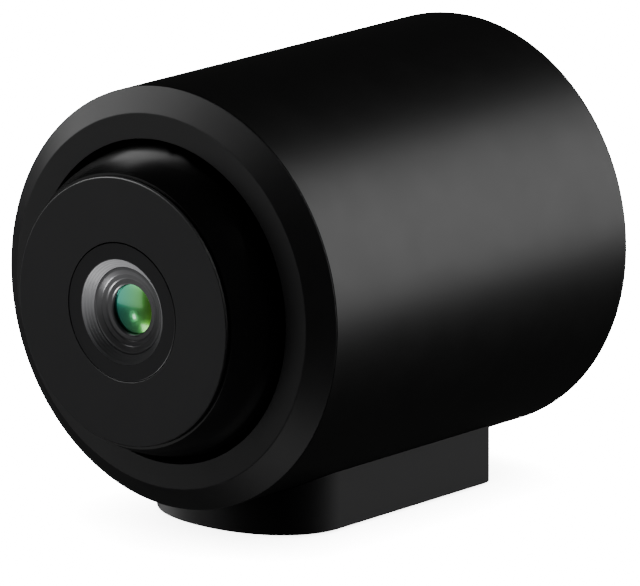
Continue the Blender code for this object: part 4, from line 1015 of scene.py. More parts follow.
@dataclass
class Barrel(SubAssembly):
    """The cylindrical housing, with the bosses that the rear cover is screwed to."""

    wall: float = 1.5
    front_gap: float = 0.09
    front_edge: float = 0.07
    back_edge: float = 0.6
    boss_circle: float = 11.2
    boss_radius: float = 1.8
    boss_start: float = 28.4
    boss_end: float = 31.4
    boss_bore: float = 0.9
    bore_depth: float = 3.6
    foot_bore: float = 0.9

    def build(self) -> None:
        """Builds the barrel."""
        radius = self.layout.barrel_radius
        bore = radius - self.wall
        end = self.layout.barrel_end
        corners = [
            Corner(bore, self.front_gap, self.front_edge),
            Corner(radius, self.front_gap, self.front_edge),
            Corner(radius, end, self.back_edge),
            Corner(bore, end, self.front_edge),
        ]
        barrel = self.shaper.turned("barrel_shell", corners, "satin_black", self.layout.rim, 192)
        bosses, holes = [], []
        for number in range(3):
            angle = math.pi / 2 + number * 2 * math.pi / 3
            centre = Vector((math.cos(angle), 0.0, math.sin(angle))) * self.boss_circle * MM + self.layout.rim
            reach = bore + self.wall / 2 - self.boss_circle
            web = RoundedBox(2 * self.boss_radius, reach, 0.1, 0.0, reach / 2)
            lean = Matrix.Translation(centre) @ Matrix.Rotation(math.pi / 2 - angle, 4, "Y")
            levels = [(self.boss_start, -0.1), (self.boss_start + 0.1, 0.0), (self.boss_end, 0.0)]
            for label, shape in (("post", RoundedBox.circle(self.boss_radius)), ("web", web)):
                boss = self.shaper.pushed(f"{label}_{number}", shape, levels, "satin_black", Vector())
                boss.data.transform(lean)
                bosses.append(boss)
            span = (self.boss_end - self.bore_depth, self.boss_end + 1.0)
            holes.append(self.bored(f"boss_bore_{number}", self.boss_bore, *span, centre))
        for number in (1, 2):
            low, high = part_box(f"base_screw_{number}")
            place = Vector(((low.x + high.x) / 2, (low.y + high.y) / 2, self.layout.rim.z))
            span = (-radius - 1.0, 1.0 - bore)
            holes.append(self.bored(f"foot_bore_{number}", self.foot_bore, *span, place, Axis.Z))
        self.shaper.combined(barrel, bosses, "UNION")
        self.shaper.combined(barrel, holes, "DIFFERENCE")
        self.hand_over(barrel, Body.HOUSING, "satin_black", "barrel_housing")


@dataclass
class FrontBezel(SubAssembly):
    """The chamfered ring that frames the lens head."""

    depth: float = 1.37
    flat_radius: float = 14.2
    opening: float = 12.25
    spigot: float = 14.2
    spigot_end: float = 0.33
    edge: float = 0.07
    pin_slot: float = 1.25
    pin_slot_start: float = 11.0
    pin_slot_end: float = 14.0
    screw_bore: float = 0.45

    def build(self) -> None:
        """Builds the bezel."""
        radius = self.layout.barrel_radius
        corners = [
            Corner(self.opening, self.spigot_end, 0.04),
            Corner(self.opening, -self.depth, self.edge),
            Corner(self.flat_radius, -self.depth, self.edge),
            Corner(radius, -0.03, self.edge),
            Corner(radius, 0.03, 0.02),
            Corner(self.spigot, 0.03),
            Corner(self.spigot, self.spigot_end, 0.04),
        ]
        bezel = self.shaper.turned("bezel_ring", corners, "bezel_black", self.layout.rim, 192)
        pivot = self.layout.pivot
        tools = []
        for side in (-1, 1):
            ends = sorted((side * self.pin_slot_start, side * self.pin_slot_end))
            tools.append(self.bored(f"pin_slot_{side}", self.pin_slot, *ends, pivot, Axis.X))
        for number in (1, 2, 3):
            place = seat_of(f"clamp_screw_{number}")
            tools.append(self.bored(f"clamp_bore_{number}", self.screw_bore, -0.2, 2.0, place))
        self.shaper.combined(bezel, tools, "DIFFERENCE")
        self.hand_over(bezel, Body.HOUSING, "bezel_black", "front_bezel")


@dataclass
class RearCover(SubAssembly):
    """The rear cover with its openings, and the screws that hold it."""

    radius: float = 14.2
    thickness: float = 2.4
    edge: float = 0.4
    groove: float = 0.5
    groove_floor: float = 13.2
    opening_edge: float = 0.15
    usb: RoundedBox = field(default_factory=lambda: RoundedBox.slot(9.6, 3.8, 0.0, 2.4))
    card: RoundedBox = field(default_factory=lambda: RoundedBox(11.6, 1.3, 0.3, 0.0, -1.75))
    control_height: float = 7.0
    power_opening: Pair = (-5.6, 2.35)
    reset_opening: Pair = (5.6, 1.35)
    light_opening: Pair = (0.0, 0.95)
    microphone_opening: Pair = (2.5, 0.5)
    grille_drop: float = 7.0
    grille_pitch: float = 1.7
    grille_hole: float = 0.45
    screw_circle: float = 11.2
    screw_seat: float = 33.1
    screw_bore: float = 0.9
    screw_counterbore: float = 1.7

    def flared(self, name: str, shape: RoundedBox) -> Piece:
        """A cutter through the cover that opens out at the outer face."""
        back = self.layout.cover_back
        edge = self.opening_edge
        levels = [(back - self.thickness - 0.3, 0.0), (back - edge, 0.0), (back, edge)]
        levels.append((back + 0.1, edge + 0.1))
        return self.shaper.pushed(name, shape, levels, "cover_black", self.layout.rim)

    def build(self) -> None:
        """Builds the cover and its screws."""
        back = self.layout.cover_back
        front = back - self.thickness
        middle = (front + back) / 2
        corners = [
            Corner(0.0, front),
            Corner(self.radius, front, 0.1),
            Corner(self.radius, middle - self.groove, 0.04),
            Corner(self.groove_floor, middle - self.groove),
            Corner(self.groove_floor, middle + self.groove),
            Corner(self.radius, middle + self.groove, 0.04),
            Corner(self.radius, back - self.edge, 0.1),
            Corner(self.radius - self.edge, back, 0.1),
            Corner(self.radius - 2 * self.edge, back),
            Corner(0.0, back),
        ]
        cover = self.shaper.turned("rear_plate", corners, "cover_black", self.layout.rim, 144, False)
        controls = (self.power_opening, self.reset_opening, self.light_opening, self.microphone_opening)
        shapes = [self.usb, self.card]
        shapes += [RoundedBox.circle(radius, x, self.control_height) for x, radius in controls]
        shapes.append(RoundedBox.circle(self.grille_hole, 0.0, -self.grille_drop))
        tools = [self.flared(f"opening_{number}", shape) for number, shape in enumerate(shapes)]
        tools.append(self.grille())
        seat = self.screw_seat - front
        stepped = [
            Corner(0.0, -1.0), Corner(self.screw_bore, -1.0), Corner(self.screw_bore, seat),
            Corner(self.screw_counterbore, seat), Corner(self.screw_counterbore, self.thickness - 0.15),
            Corner(self.screw_counterbore + 0.5, self.thickness + 0.35), Corner(0.0, self.thickness + 0.35),
        ]
        for number in (1, 2, 3):
            place = seat_of(f"cover_screw_{number}", self.layout.rim.y + front * MM)
            tools.append(self.shaper.turned(f"screw_hole_{number}", stepped, "cover_black", place, 48, False))
        self.shaper.combined(cover, tools, "DIFFERENCE")
        self.shaper.unified(cover)
        self.hand_over(cover, Body.HOUSING, "cover_black", "rear_cover")
        self.screws()

    def grille(self) -> Piece:
        """The ring of holes round the middle one, as one cutter."""
        hole = self.flared("grille_ring", RoundedBox.circle(self.grille_hole))
        hole.data.transform(Matrix.Translation(-self.layout.rim))
        self.shaper.ringed(hole, "cover_black", 6, self.grille_pitch, first_angle=0.0, spin=0.0, seed=1)
        hole.data.transform(Matrix.Translation(self.layout.rim - Vector((0.0, 0.0, self.grille_drop * MM))))
        return hole

    def screws(self) -> None:
        """Sets the three cover screws."""
        low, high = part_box("cover_screw_1")
        screw = Screw(self.layout, self.finishes, self.shaper)
        head_seat = self.screw_seat + 0.2
        piece = screw.shape("cover_screws", head_seat * MM + self.layout.rim.y - low.y)
        turns = {"first_angle": math.pi / 2, "spin": 2 * math.pi, "seed": 7}
        self.shaper.ringed(piece, "screw_steel", 3, self.screw_circle, **turns)
        piece.data.transform(Matrix.Translation(self.layout.rim + Vector((0.0, head_seat * MM, 0.0))))
        names = [f"cover_screw_{number}" for number in (1, 2, 3)]
        self.hand_over(piece, Body.HOUSING, "screw_steel", *names)


@dataclass
class Screw(SubAssembly):
    """A round-headed screw with a six-sided socket, facing +Y, with its seat at zero."""

    radius: float = 0.7
    head_radius: float = 1.5
    head_height: float = 0.6
    socket: float = 0.72
    thread: float = 0.35

    def shape(self, name: str, length: float) -> Piece:
        """Makes one screw.

        Args:
            name: The piece's name.
            length: The shank's length, in metres.

        Returns:
            The screw, at the origin.
        """
        reach = length / MM
        shank = [Corner(0.0, -reach), Corner(self.radius - 0.15, -reach)]
        turns = int((reach - 0.4) / self.thread)
        for turn in range(turns):
            start = -reach + 0.15 + turn * self.thread
            shank += [Corner(self.radius - 0.14, start), Corner(self.radius, start + self.thread / 2)]
        head = [
            Corner(self.radius - 0.1, 0.0),
            Corner(self.head_radius, 0.0, 0.05),
            Corner(self.head_radius, self.head_height, 0.28),
            Corner(0.0, self.head_height),
        ]
        piece = self.shaper.turned(name, shank + head, "screw_steel", Vector(), 32, False)
        build = bmesh.new()
        for z, radius in ((0.15, self.socket), (self.head_height + 0.2, self.socket)):
            for side in range(6):
                angle = side * math.pi / 3
                build.verts.new(Vector((radius * math.cos(angle), z, radius * math.sin(angle))) * MM)
        corners = list(build.verts)
        build.faces.new(corners[:6])
        build.faces.new(corners[6:])
        for side in range(6):
            following = (side + 1) % 6
            build.faces.new((corners[side], corners[following], corners[following + 6], corners[side + 6]))
        bmesh.ops.recalc_face_normals(build, faces=build.faces)
        socket = new_object("socket", build)
        return self.shaper.combined(piece, [socket], "DIFFERENCE")


@dataclass
class Foot(SubAssembly):
    """The foot under the barrel, its adhesive pad and its two screws."""

    nose: float = 6.2
    edge: float = 0.16
    saddle_gap: float = 0.05
    pad_inset: float = 1.5
    pad_edge: float = 0.08
    pocket_inset: float = 1.2
    pocket_depth: float = 0.4
    screw_bore: float = 0.9
    screw_counterbore: float = 1.7

    def build(self) -> None:
        """Builds the foot."""
        low, high = self.layout.foot_low, self.layout.foot_high
        outline = FootOutline((high.x - low.x) / MM, low.y / MM, high.y / MM, self.nose)
        bottom = low.z / MM
        top = high.z / MM + 0.3
        levels = [(bottom, -self.edge), (bottom + 0.05, -0.06), (bottom + self.edge, 0.0), (top, 0.0)]
        foot = self.shaper.pushed("foot_block", outline, levels, "base_black", Vector(), Axis.Z)
        centre = Vector((0.0, 0.0, self.layout.rim.z))
        radius = self.layout.barrel_radius + self.saddle_gap
        saddle_corners = [Corner(0.0, -30.0), Corner(radius, -30.0), Corner(radius, 30.0), Corner(0.0, 30.0)]
        tools = [self.shaper.turned("saddle", saddle_corners, "base_black", centre, 192, False)]
        pocket_levels = [(bottom - 1.0, -self.pocket_inset), (bottom + self.pocket_depth, -self.pocket_inset)]
        tools.append(self.shaper.pushed("pocket", outline, pocket_levels, "base_black", Vector(), Axis.Z))
        magnet_low, magnet_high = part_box("base_magnet")
        middle = Vector((0.0, (magnet_low.y + magnet_high.y) / 2, 0.0))
        magnet = (magnet_high.x - magnet_low.x) / 2 / MM + 0.3
        tools.append(self.bored("magnet_pocket", magnet, 0.0, magnet_high.z / MM + 0.2, middle, Axis.Z))
        lengths = []
        for number in (1, 2):
            screw_low, screw_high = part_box(f"base_screw_{number}")
            place = Vector((0.0, (screw_low.y + screw_high.y) / 2, 0.0))
            seat = screw_low.z / MM + 0.8
            stepped = [
                Corner(0.0, 0.0), Corner(self.screw_counterbore, 0.0), Corner(self.screw_counterbore, seat),
                Corner(self.screw_bore, seat), Corner(self.screw_bore, 6.0), Corner(0.0, 6.0),
            ]
            name = f"screw_hole_{number}"
            tools.append(self.shaper.turned(name, stepped, "base_black", place, 32, False, Axis.Z))
            lengths.append(place.y)
        self.shaper.combined(foot, tools, "DIFFERENCE")
        self.hand_over(foot, Body.HOUSING, "base_black", "base_block")
        self.pad(outline)
        self.screws(lengths)

    def pad(self, outline: FootOutline) -> None:
        """Makes the foam pad, a little rounded at its edges."""
        low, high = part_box("adhesive_pad")
        bottom, top = low.z / MM, high.z / MM
        inset, edge = self.pad_inset, self.pad_edge
        levels = [(bottom, -inset - edge), (bottom + edge, -inset)]
        levels += [(top - edge, -inset), (top, -inset - edge)]
        pad = self.shaper.pushed("foot_pad", outline, levels, "pad_foam", Vector(), Axis.Z)
        self.hand_over(pad, Body.HOUSING, "pad_foam", "adhesive_pad")

    def screws(self, places: list[float]) -> None:
        """Sets the two screws, heads down."""
        low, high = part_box("base_screw_1")
        screw = Screw(self.layout, self.finishes, self.shaper)
        piece = screw.shape("foot_screws", high.z - low.z - screw.head_height * MM)
        piece.data.transform(Matrix.Rotation(-math.pi / 2, 4, "X"))
        seat = low.z + screw.head_height * MM
        step = (0.0, places[1] - places[0], 0.0)
        self.shaper.rowed(piece, "screw_steel", 2, (0.0, places[0], seat), step)
        self.hand_over(piece, Body.HOUSING, "screw_steel", "base_screw_1", "base_screw_2")


# ---------------------------------------------------------------- lens head


@dataclass
class LensHead(SubAssembly):
    """The ball-shaped head with its flat plate, and the lens in it."""

    radius: float = 11.83
    wall: float = 1.43
    face: float = -6.08
    back: float = 5.0
    plate_edge_depth: float = 0.34
    shoulder_groove: float = 0.06
    recess_radius: float = 9.908
    recess_depth: float = 1.5
    front_wall_end: float = -3.38
    pin_hole: float = 1.4
    pin_hole_start: float = 9.0
    pin_hole_end: float = 12.3
    holder_bore: float = 0.6
    plate_thickness: float = 1.2
    plate_seam: float = 0.02
    lens_hole: float = 5.5
    lens_radius: float = 5.2
    groove_width: float = 0.07
    mouth: float = 3.98
    funnel_end: float = 3.36
    funnel_depth: float = 0.64
    funnel_steps: int = 4
    bore: float = 3.3
    bore_length: float = 3.4
    rear_bore: float = 2.6
    sleeve_length: float = 4.6
    thread_radius: float = 4.9
    thread_depth: float = 0.12
    thread_turns: int = 14
    glass_hole: float = 1.9
    ring_depth: float = 0.65
    ring_length: float = 0.68
    ring_fit: float = 0.03
    glass_radius: float = 3.0
    glass_depth: float = 1.2
    glass_dome: float = 0.4
    glass_edge: float = 1.1

    def build(self) -> None:
        """Builds the head and the parts of the lens that show."""
        self.shell()
        self.plate()
        self.lens_tube()
        self.lens_ring()
        self.glass()

    def shell(self) -> None:
        """The ball, cut flat in front and open behind."""
        shoulder = self.face + self.plate_edge_depth + self.shoulder_groove
        inner = self.radius - self.wall
        corners = [
            Corner(self.lens_hole, self.face + self.recess_depth),
            Corner(self.recess_radius, self.face + self.recess_depth),
            Corner(self.recess_radius, shoulder, 0.02),
            *ball_corners(self.radius, shoulder, self.back, 40),
            *ball_corners(inner, self.back, self.front_wall_end, 24),
            Corner(self.lens_hole, self.front_wall_end),
        ]
        shell = self.shaper.turned("head_ball", corners, "shell_black", self.layout.pivot, 192)
        tools = []
        for side in (-1, 1):
            ends = sorted((side * self.pin_hole_start, side * self.pin_hole_end))
            tools.append(self.bored(f"pin_hole_{side}", self.pin_hole, *ends, self.layout.pivot, Axis.X))
        for number in (1, 2):
            low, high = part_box(f"holder_screw_{number}")
            place = Vector(((low.x + high.x) / 2, low.y - 0.3 * MM, (low.z + high.z) / 2))
            tools.append(self.bored(f"holder_bore_{number}", self.holder_bore, 0.0, 2.0, place))
        self.shaper.combined(shell, tools, "DIFFERENCE")
        self.hand_over(shell, Body.HEAD, "shell_black", "head_shell")

    def plate(self) -> None:
        """The flat disc round the lens."""
        rim = math.sqrt(self.radius**2 - self.face**2)
        outer = self.recess_radius - self.plate_seam
        hole = self.lens_radius + self.groove_width
        back = self.face + self.plate_thickness
        corners = [
            Corner(hole, self.face, 0.05),
            Corner(rim, self.face, 0.12),
            Corner(rim, self.face + self.plate_edge_depth, 0.03),
            Corner(outer, self.face + self.plate_edge_depth),
            Corner(outer, back, 0.1),
            Corner(hole, back, 0.1),
        ]
        plate = self.shaper.turned("face_plate", corners, "plate_black", self.layout.pivot, 192)
        self.hand_over(plate, Body.HEAD, "plate_black", "front_plate")

    def lens_tube(self) -> None:
        """The round body of the lens, with fine steps in its mouth and a thread behind."""
        funnel = []
        for step in range(1, self.funnel_steps + 1):
            share = step / self.funnel_steps
            out = self.mouth - (self.mouth - self.funnel_end) * share
            along = self.face + self.funnel_depth * share
            funnel += [Corner(out + 0.05, along - 0.05, 0.015), Corner(out, along - 0.03, 0.015)]
        thread = []
        low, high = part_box("lens_barrel")
        end = (high.y - self.layout.pivot.y) / MM
        sleeve = self.face + self.sleeve_length
        pitch = (end - sleeve - 0.4) / self.thread_turns
        for turn in range(self.thread_turns):
            start = end - 0.2 - turn * pitch
            thread.append(Corner(self.thread_radius, start))
            thread.append(Corner(self.thread_radius - self.thread_depth, start - pitch / 2))
        corners = [
            Corner(self.mouth, self.face, 0.08),
            *funnel,
            Corner(self.bore, self.face + self.funnel_depth + 0.02),
            Corner(self.bore, self.face + self.bore_length),
            Corner(self.rear_bore, self.face + self.bore_length),
            Corner(self.rear_bore, end),
            Corner(self.thread_radius - 0.15, end),
            *thread,
            Corner(self.thread_radius, sleeve),
            Corner(self.lens_radius, sleeve, 0.05),
            Corner(self.lens_radius, self.face, 0.05),
        ]
        tube = self.shaper.turned("lens_tube", corners, "lens_black", self.layout.pivot, 160)
        self.hand_over(tube, Body.HEAD, "lens_black", "lens_barrel")

    def lens_ring(self) -> None:
        """The stepped ring that holds the front glass."""
        front = self.face + self.ring_depth
        outer = self.bore - self.ring_fit
        corners = [
            Corner(outer, front + 0.02, 0.04),
            Corner(outer, front + self.ring_length),
            Corner(self.glass_hole, front + self.ring_length),
            Corner(self.glass_hole, front + 0.50, 0.03),
            Corner(self.glass_hole + 0.10, front + 0.42, 0.03),
            Corner(2.32, front + 0.42, 0.03),
            Corner(2.42, front + 0.34, 0.03),
            Corner(2.72, front + 0.24, 0.02),
            Corner(2.76, front + 0.20, 0.02),
            Corner(3.08, front + 0.02, 0.03),
        ]
        ring = self.shaper.turned("lens_ring", corners, "lens_ring_grey", self.layout.pivot, 160)
        self.hand_over(ring, Body.HEAD, "lens_ring_grey", "lens_retaining_ring")

    def glass(self) -> None:
        """The domed front glass."""
        vertex = self.face + self.glass_depth
        curve = (self.glass_radius**2 + self.glass_dome**2) / (2 * self.glass_dome)
        steps = 24
        dome = []
        for step in range(steps + 1):
            out = self.glass_radius * step / steps
            dome.append(Corner(out, vertex + curve - math.sqrt(curve**2 - out**2)))
        edge = vertex + self.glass_dome + self.glass_edge
        corners = [*dome, Corner(self.glass_radius, edge, 0.05), Corner(0.0, edge - 0.3)]
        glass = self.shaper.turned("front_glass", corners, "coated_glass", self.layout.pivot, 96, False)
        self.hand_over(glass, Body.HEAD, "coated_glass", "front_lens")


@dataclass
class Ribbon(SubAssembly):
    """The ribbon from the sensor board to the main board, built in one fixed bend."""

    width: float = 7.0
    thickness: float = 0.2
    slack: float = 0.6

    def build(self) -> None:
        """Builds the ribbon in a fixed bend between the two bodies."""
        low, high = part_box("sensor_flex")
        board_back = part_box("sensor_board")[1].y
        connector_low, connector_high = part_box("flex_connector")
        start = Vector((0.0, board_back + 0.05 * MM, low.z))
        end = Vector((0.0, connector_low.y - 0.1 * MM, (connector_low.z + connector_high.z) / 2))
        half = Vector((0.0, 0.0, self.thickness * MM / 2))
        build = bmesh.new()
        rows = []
        sides = ((-1, -1), (1, -1), (1, 1), (-1, 1))
        steps = 28
        rise = end.z - start.z
        for step in range(steps + 1):
            share = step / steps
            reach = min(1.0, share / self.slack)
            ease = reach * reach * (3 - 2 * reach)
            centre = Vector((0.0, start.y + (end.y - start.y) * share, start.z + rise * ease)) + half
            across = Vector((self.width * MM / 2, 0.0, 0.0))
            rows.append([build.verts.new(centre + x * across + z * half) for x, z in sides])
        for first, second in zip(rows, rows[1:]):
            for side in range(4):
                following = (side + 1) % 4
                build.faces.new((first[side], first[following], second[following], second[side]))
        build.faces.new(rows[0])
        build.faces.new(rows[-1])
        bmesh.ops.recalc_face_normals(build, faces=build.faces)
        ribbon = new_object("sensor_ribbon", build)
        ribbon.data.materials.append(self.finishes.of("flex_film"))
        self.shaper.polished(ribbon)
        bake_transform(ribbon)
        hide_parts("sensor_flex")
        LOG.info("%s: %d faces between two bodies", ribbon.name, len(ribbon.data.polygons))


# ---------------------------------------------------------------- rear ports and controls


@dataclass
class Ports(SubAssembly):
    """The USB port and the memory card."""

    port_wall: float = 0.3
    contact_count: int = 12
    contact_pitch: float = 0.5
    contact_width: float = 0.26
    contact_length: float = 3.2
    card_pads: int = 8
    card_pad_pitch: float = 1.1

    def build(self) -> None:
        """Builds the port and the card."""
        self.port()
        self.card()

    def port(self) -> None:
        """The port's shell, its tongue and the rows of contacts."""
        low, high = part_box("usb_port_shell")
        centre = seat_of("usb_port_shell", 0.0)
        shape = RoundedBox.slot((high.x - low.x) / MM, (high.z - low.z) / MM)
        front, back = low.y / MM, high.y / MM
        outside = [(front, -0.3), (front + 0.3, 0.0), (back - 0.08, 0.0), (back, -0.08)]
        shell = self.shaper.pushed("usb_shell", shape, outside, "port_steel", centre)
        wall = self.port_wall
        inside = [(front + 2 * wall, -wall), (back - 0.08, -wall), (back + 0.1, -wall + 0.18)]
        hollow = self.shaper.pushed("usb_hollow", shape, inside, "port_steel", centre)
        self.shaper.combined(shell, [hollow], "DIFFERENCE")
        self.hand_over(shell, Body.HOUSING, "port_steel", "usb_port_shell")

        low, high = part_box("usb_port_tongue")
        front, back = low.y / MM, high.y / MM
        blade = RoundedBox((high.x - low.x) / MM, 0.7, 0.12)
        levels = [(front, 0.0), (back - 0.2, 0.0), (back - 0.05, -0.06), (back, -0.2)]
        tongue = self.shaper.pushed("usb_tongue", blade, levels, "tongue_black", centre)
        root = RoundedBox((high.x - low.x) / MM, (high.z - low.z) / MM, 0.3)
        root_levels = [(front, 0.0), (front + 1.2, 0.0)]
        root_piece = self.shaper.pushed("usb_root", root, root_levels, "tongue_black", centre)
        self.shaper.combined(tongue, [root_piece], "UNION")
        self.hand_over(tongue, Body.HOUSING, "tongue_black", "usb_port_tongue")

        for label, side in (("upper", 1), ("lower", -1)):
            contact = RoundedBox(self.contact_width, 0.05, 0.02, 0.0, side * 0.365)
            levels = [(back - 0.4 - self.contact_length, 0.0), (back - 0.4, 0.0)]
            piece = self.shaper.pushed(f"usb_contacts_{label}", contact, levels, "spacer_brass", centre)
            self.shaper.spaced(piece, "spacer_brass", self.contact_count, self.contact_pitch)
            self.hand_over(piece, Body.HOUSING, "spacer_brass")

    def card(self) -> None:
        """The memory card, with the ridge at its back edge and its contact pads below."""
        low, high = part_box("memory_card")
        centre = seat_of("memory_card", 0.0)
        width, height = (high.x - low.x) / MM, (high.z - low.z) / MM
        front, back = low.y / MM, high.y / MM
        shape = RoundedBox(width, height, 0.12)
        levels = [(front, -0.1), (front + 0.1, 0.0), (back - 0.12, 0.0), (back, -0.12)]
        card = self.shaper.pushed("card_body", shape, levels, "card_black", centre)
        lip = RoundedBox(width - 1.2, 0.12, 0.05, 0.0, height / 2 - 0.05)
        levels = [(back - 0.95, 0.0), (back - 0.62, 0.0)]
        groove = self.shaper.pushed("card_groove", lip, levels, "card_black", centre)
        self.shaper.combined(card, [groove], "DIFFERENCE")
        self.hand_over(card, Body.CARD, "card_black", "memory_card")
        pad = RoundedBox(0.8, 0.03, 0.01, 0.0, -height / 2 - 0.005)
        levels = [(front + 0.6, 0.0), (front + 3.4, 0.0)]
        piece = self.shaper.pushed("card_contacts", pad, levels, "spacer_brass", centre)
        self.shaper.spaced(piece, "spacer_brass", self.card_pads, self.card_pad_pitch)
        self.hand_over(piece, Body.CARD, "spacer_brass")


@dataclass
class Controls(SubAssembly):
    """The two buttons and the status light's window."""

    flange: float = 0.8
    flange_thickness: float = 0.5
    edge: float = 0.14
    dish: float = 0.12
    mark_radius: float = 0.95
    mark_width: float = 0.16

    def build(self) -> None:
        """Builds the buttons and the window."""
        self.button("power", Body.POWER_KEY)
        self.button("reset", Body.RESET_KEY)
        self.window()

    def button(self, label: str, body: Body) -> None:
        """A flanged button with a dished top.

        Args:
            label: Which button it is.
            body: The body that it moves with.
        """
        low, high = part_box(f"{label}_button")
        place = seat_of(f"{label}_button")
        flange_radius = (high.x - low.x) / 2 / MM
        radius = flange_radius - self.flange
        height = (high.y - low.y) / MM
        corners = [
            Corner(0.0, 0.0),
            Corner(flange_radius, 0.0, 0.05),
            Corner(flange_radius, self.flange_thickness, 0.05),
            Corner(radius, self.flange_thickness),
            Corner(radius, height, self.edge),
            Corner(radius * 0.72, height - 0.02, 0.05),
            Corner(radius * 0.4, height - self.dish * 0.8),
            Corner(0.0, height - self.dish),
        ]
        cap = self.shaper.turned(f"{label}_cap", corners, "button_black", place, 64, False)
        if label == "power":
            self.shaper.combined(cap, self.mark(place, height), "UNION")
        self.hand_over(cap, body, "button_black", f"{label}_button")

    def mark(self, place: Vector, height: float) -> list[Piece]:
        """The raised on-off mark: a short bar in a ring.

        Args:
            place: The button's foot, in metres.
            height: The button's height.

        Returns:
            The ring and the bar.
        """
        low, high = height - 0.25, height - 0.01
        inner = self.mark_radius - self.mark_width / 2
        outer = self.mark_radius + self.mark_width / 2
        corners = [Corner(inner, low), Corner(outer, low)]
        corners += [Corner(outer, high, 0.03), Corner(inner, high, 0.03)]
        ring = self.shaper.turned("mark_ring", corners, "button_black", place, 48)
        gap = RoundedBox(0.62, 1.0, 0.05, 0.0, 0.9)
        levels = [(low - 0.2, 0.0), (high + 0.2, 0.0)]
        notch = self.shaper.pushed("mark_gap", gap, levels, "button_black", place)
        self.shaper.combined(ring, [notch], "DIFFERENCE")
        bar = RoundedBox(self.mark_width, 0.95, 0.05, 0.0, 0.62)
        return [ring, self.shaper.pushed("mark_bar", bar, [(low, 0.0), (high, 0.0)], "button_black", place)]

    def window(self) -> None:
        """The clear rod that carries the status light to the cover."""
        low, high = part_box("light_pipe")
        place = seat_of("light_pipe")
        radius = (high.x - low.x) / 2 / MM
        length = (high.y - low.y) / MM
        corners = [Corner(0.0, 0.0), Corner(radius, 0.0, 0.05), Corner(radius, length - 0.12, 0.1)]
        corners += [Corner(radius * 0.6, length - 0.03), Corner(0.0, length)]
        rod = self.shaper.turned("light_window", corners, "light_pipe_clear", place, 40, False)
        self.hand_over(rod, Body.HOUSING, "light_pipe_clear", "light_pipe")


class Inside:
    """The CAD nodes that keep their own shape and are only given a finish."""

    NODES = {
        "inner_black": ("pivot_clamp_ring",),
        "rubber_black": ("head_friction_ring", "rear_seal"),
        "screw_steel": (
            "clamp_screw_1", "clamp_screw_2", "clamp_screw_3", "board_screw_1", "board_screw_2",
            "holder_screw_1", "holder_screw_2",
        ),
        "pin_steel": ("pivot_pin_left", "pivot_pin_right"),
        "magnet_nickel": ("base_magnet",),
        "tray_plastic": ("inner_tray",),
        "battery_wrap": ("battery",),
        "board_green": ("main_board", "button_board", "sensor_board"),
        "chip_black": ("processor", "memory_chip", "power_switch", "reset_switch"),
        "thermal_grey": ("thermal_pad",),
        "sink_aluminium": ("heat_sink",),
        "shield_tin": ("wireless_module", "microphone"),
        "connector_beige": ("flex_connector",),
        "port_steel": ("card_socket",),
        "led_white": ("status_led",),
        "speaker_black": ("speaker",),
        "holder_plastic": ("lens_holder",),
        "filter_glass": ("ir_filter", "middle_lens", "rear_lens"),
        "spacer_brass": ("lens_spacer",),
        "sensor_silicon": ("image_sensor",),
    }

    def __init__(self, finishes: FinishBook) -> None:
        """Takes the finishes."""
        self.finishes = finishes

    def dress(self) -> None:
        """Gives each node its finish."""
        for slot, names in self.NODES.items():
            for name in names:
                node = frame["nodes"][name]
                node.data.materials.clear()
                node.data.materials.append(self.finishes.of(slot))
                LOG.info("%s: dressed in %s", name, slot)


# ---------------------------------------------------------------- studio


LENS_PIECES = ("lens_tube", "lens_ring", "front_glass")
FRONT_PIECES = ("bezel_ring", "head_ball", "face_plate", *LENS_PIECES)
RIM_PIECES = ("bezel_ring", "barrel_shell")
DARK_TO_UPPER_LEFT = ("barrel_shell", "head_ball", *LENS_PIECES)


@dataclass(frozen=True)
class Softbox:
    """A soft area light that looks at the object."""

    name: str
    direction: Point
    distance: float
    width: float
    height: float
    radiance: float
    only: tuple[str, ...] = ()
    spared: tuple[str, ...] = ()
    through: tuple[str, ...] = ()

    def build(self, target: Vector) -> None:
        """Sets the light up.

        Args:
            target: The point that it faces.
        """
        data = bpy.data.lights.new(self.name, "AREA")
        data.shape = "RECTANGLE"
        data.size, data.size_y = self.width, self.height
        data.energy = self.radiance * math.pi * self.width * self.height
        light = bpy.data.objects.new(self.name, data)
        away = Vector(self.direction).normalized()
        light.location = target + away * self.distance
        light.rotation_euler = away.to_track_quat("Z", "Y").to_euler()
        light.visible_camera = False
        bpy.context.scene.collection.objects.link(light)
        links = light.light_linking
        if self.only or self.spared:
            links.receiver_collection = self.chosen("receivers", self.only or self.spared, bool(self.only))
        if self.through:
            links.blocker_collection = self.chosen("blockers", self.through, False)

    def chosen(self, use: str, pieces: tuple[str, ...], included: bool) -> bpy.types.Collection:
        """Makes a collection for light linking.

        Args:
            use: What the collection is for.
            pieces: The pieces in it.
            included: False if they are left out and all the others count.

        Returns:
            The collection.
        """
        group = bpy.data.collections.new(f"{self.name}_{use}")
        for piece in pieces:
            group.objects.link(bpy.data.objects[piece])
        for member in group.collection_objects:
            member.light_linking.link_state = "INCLUDE" if included else "EXCLUDE"
        return group


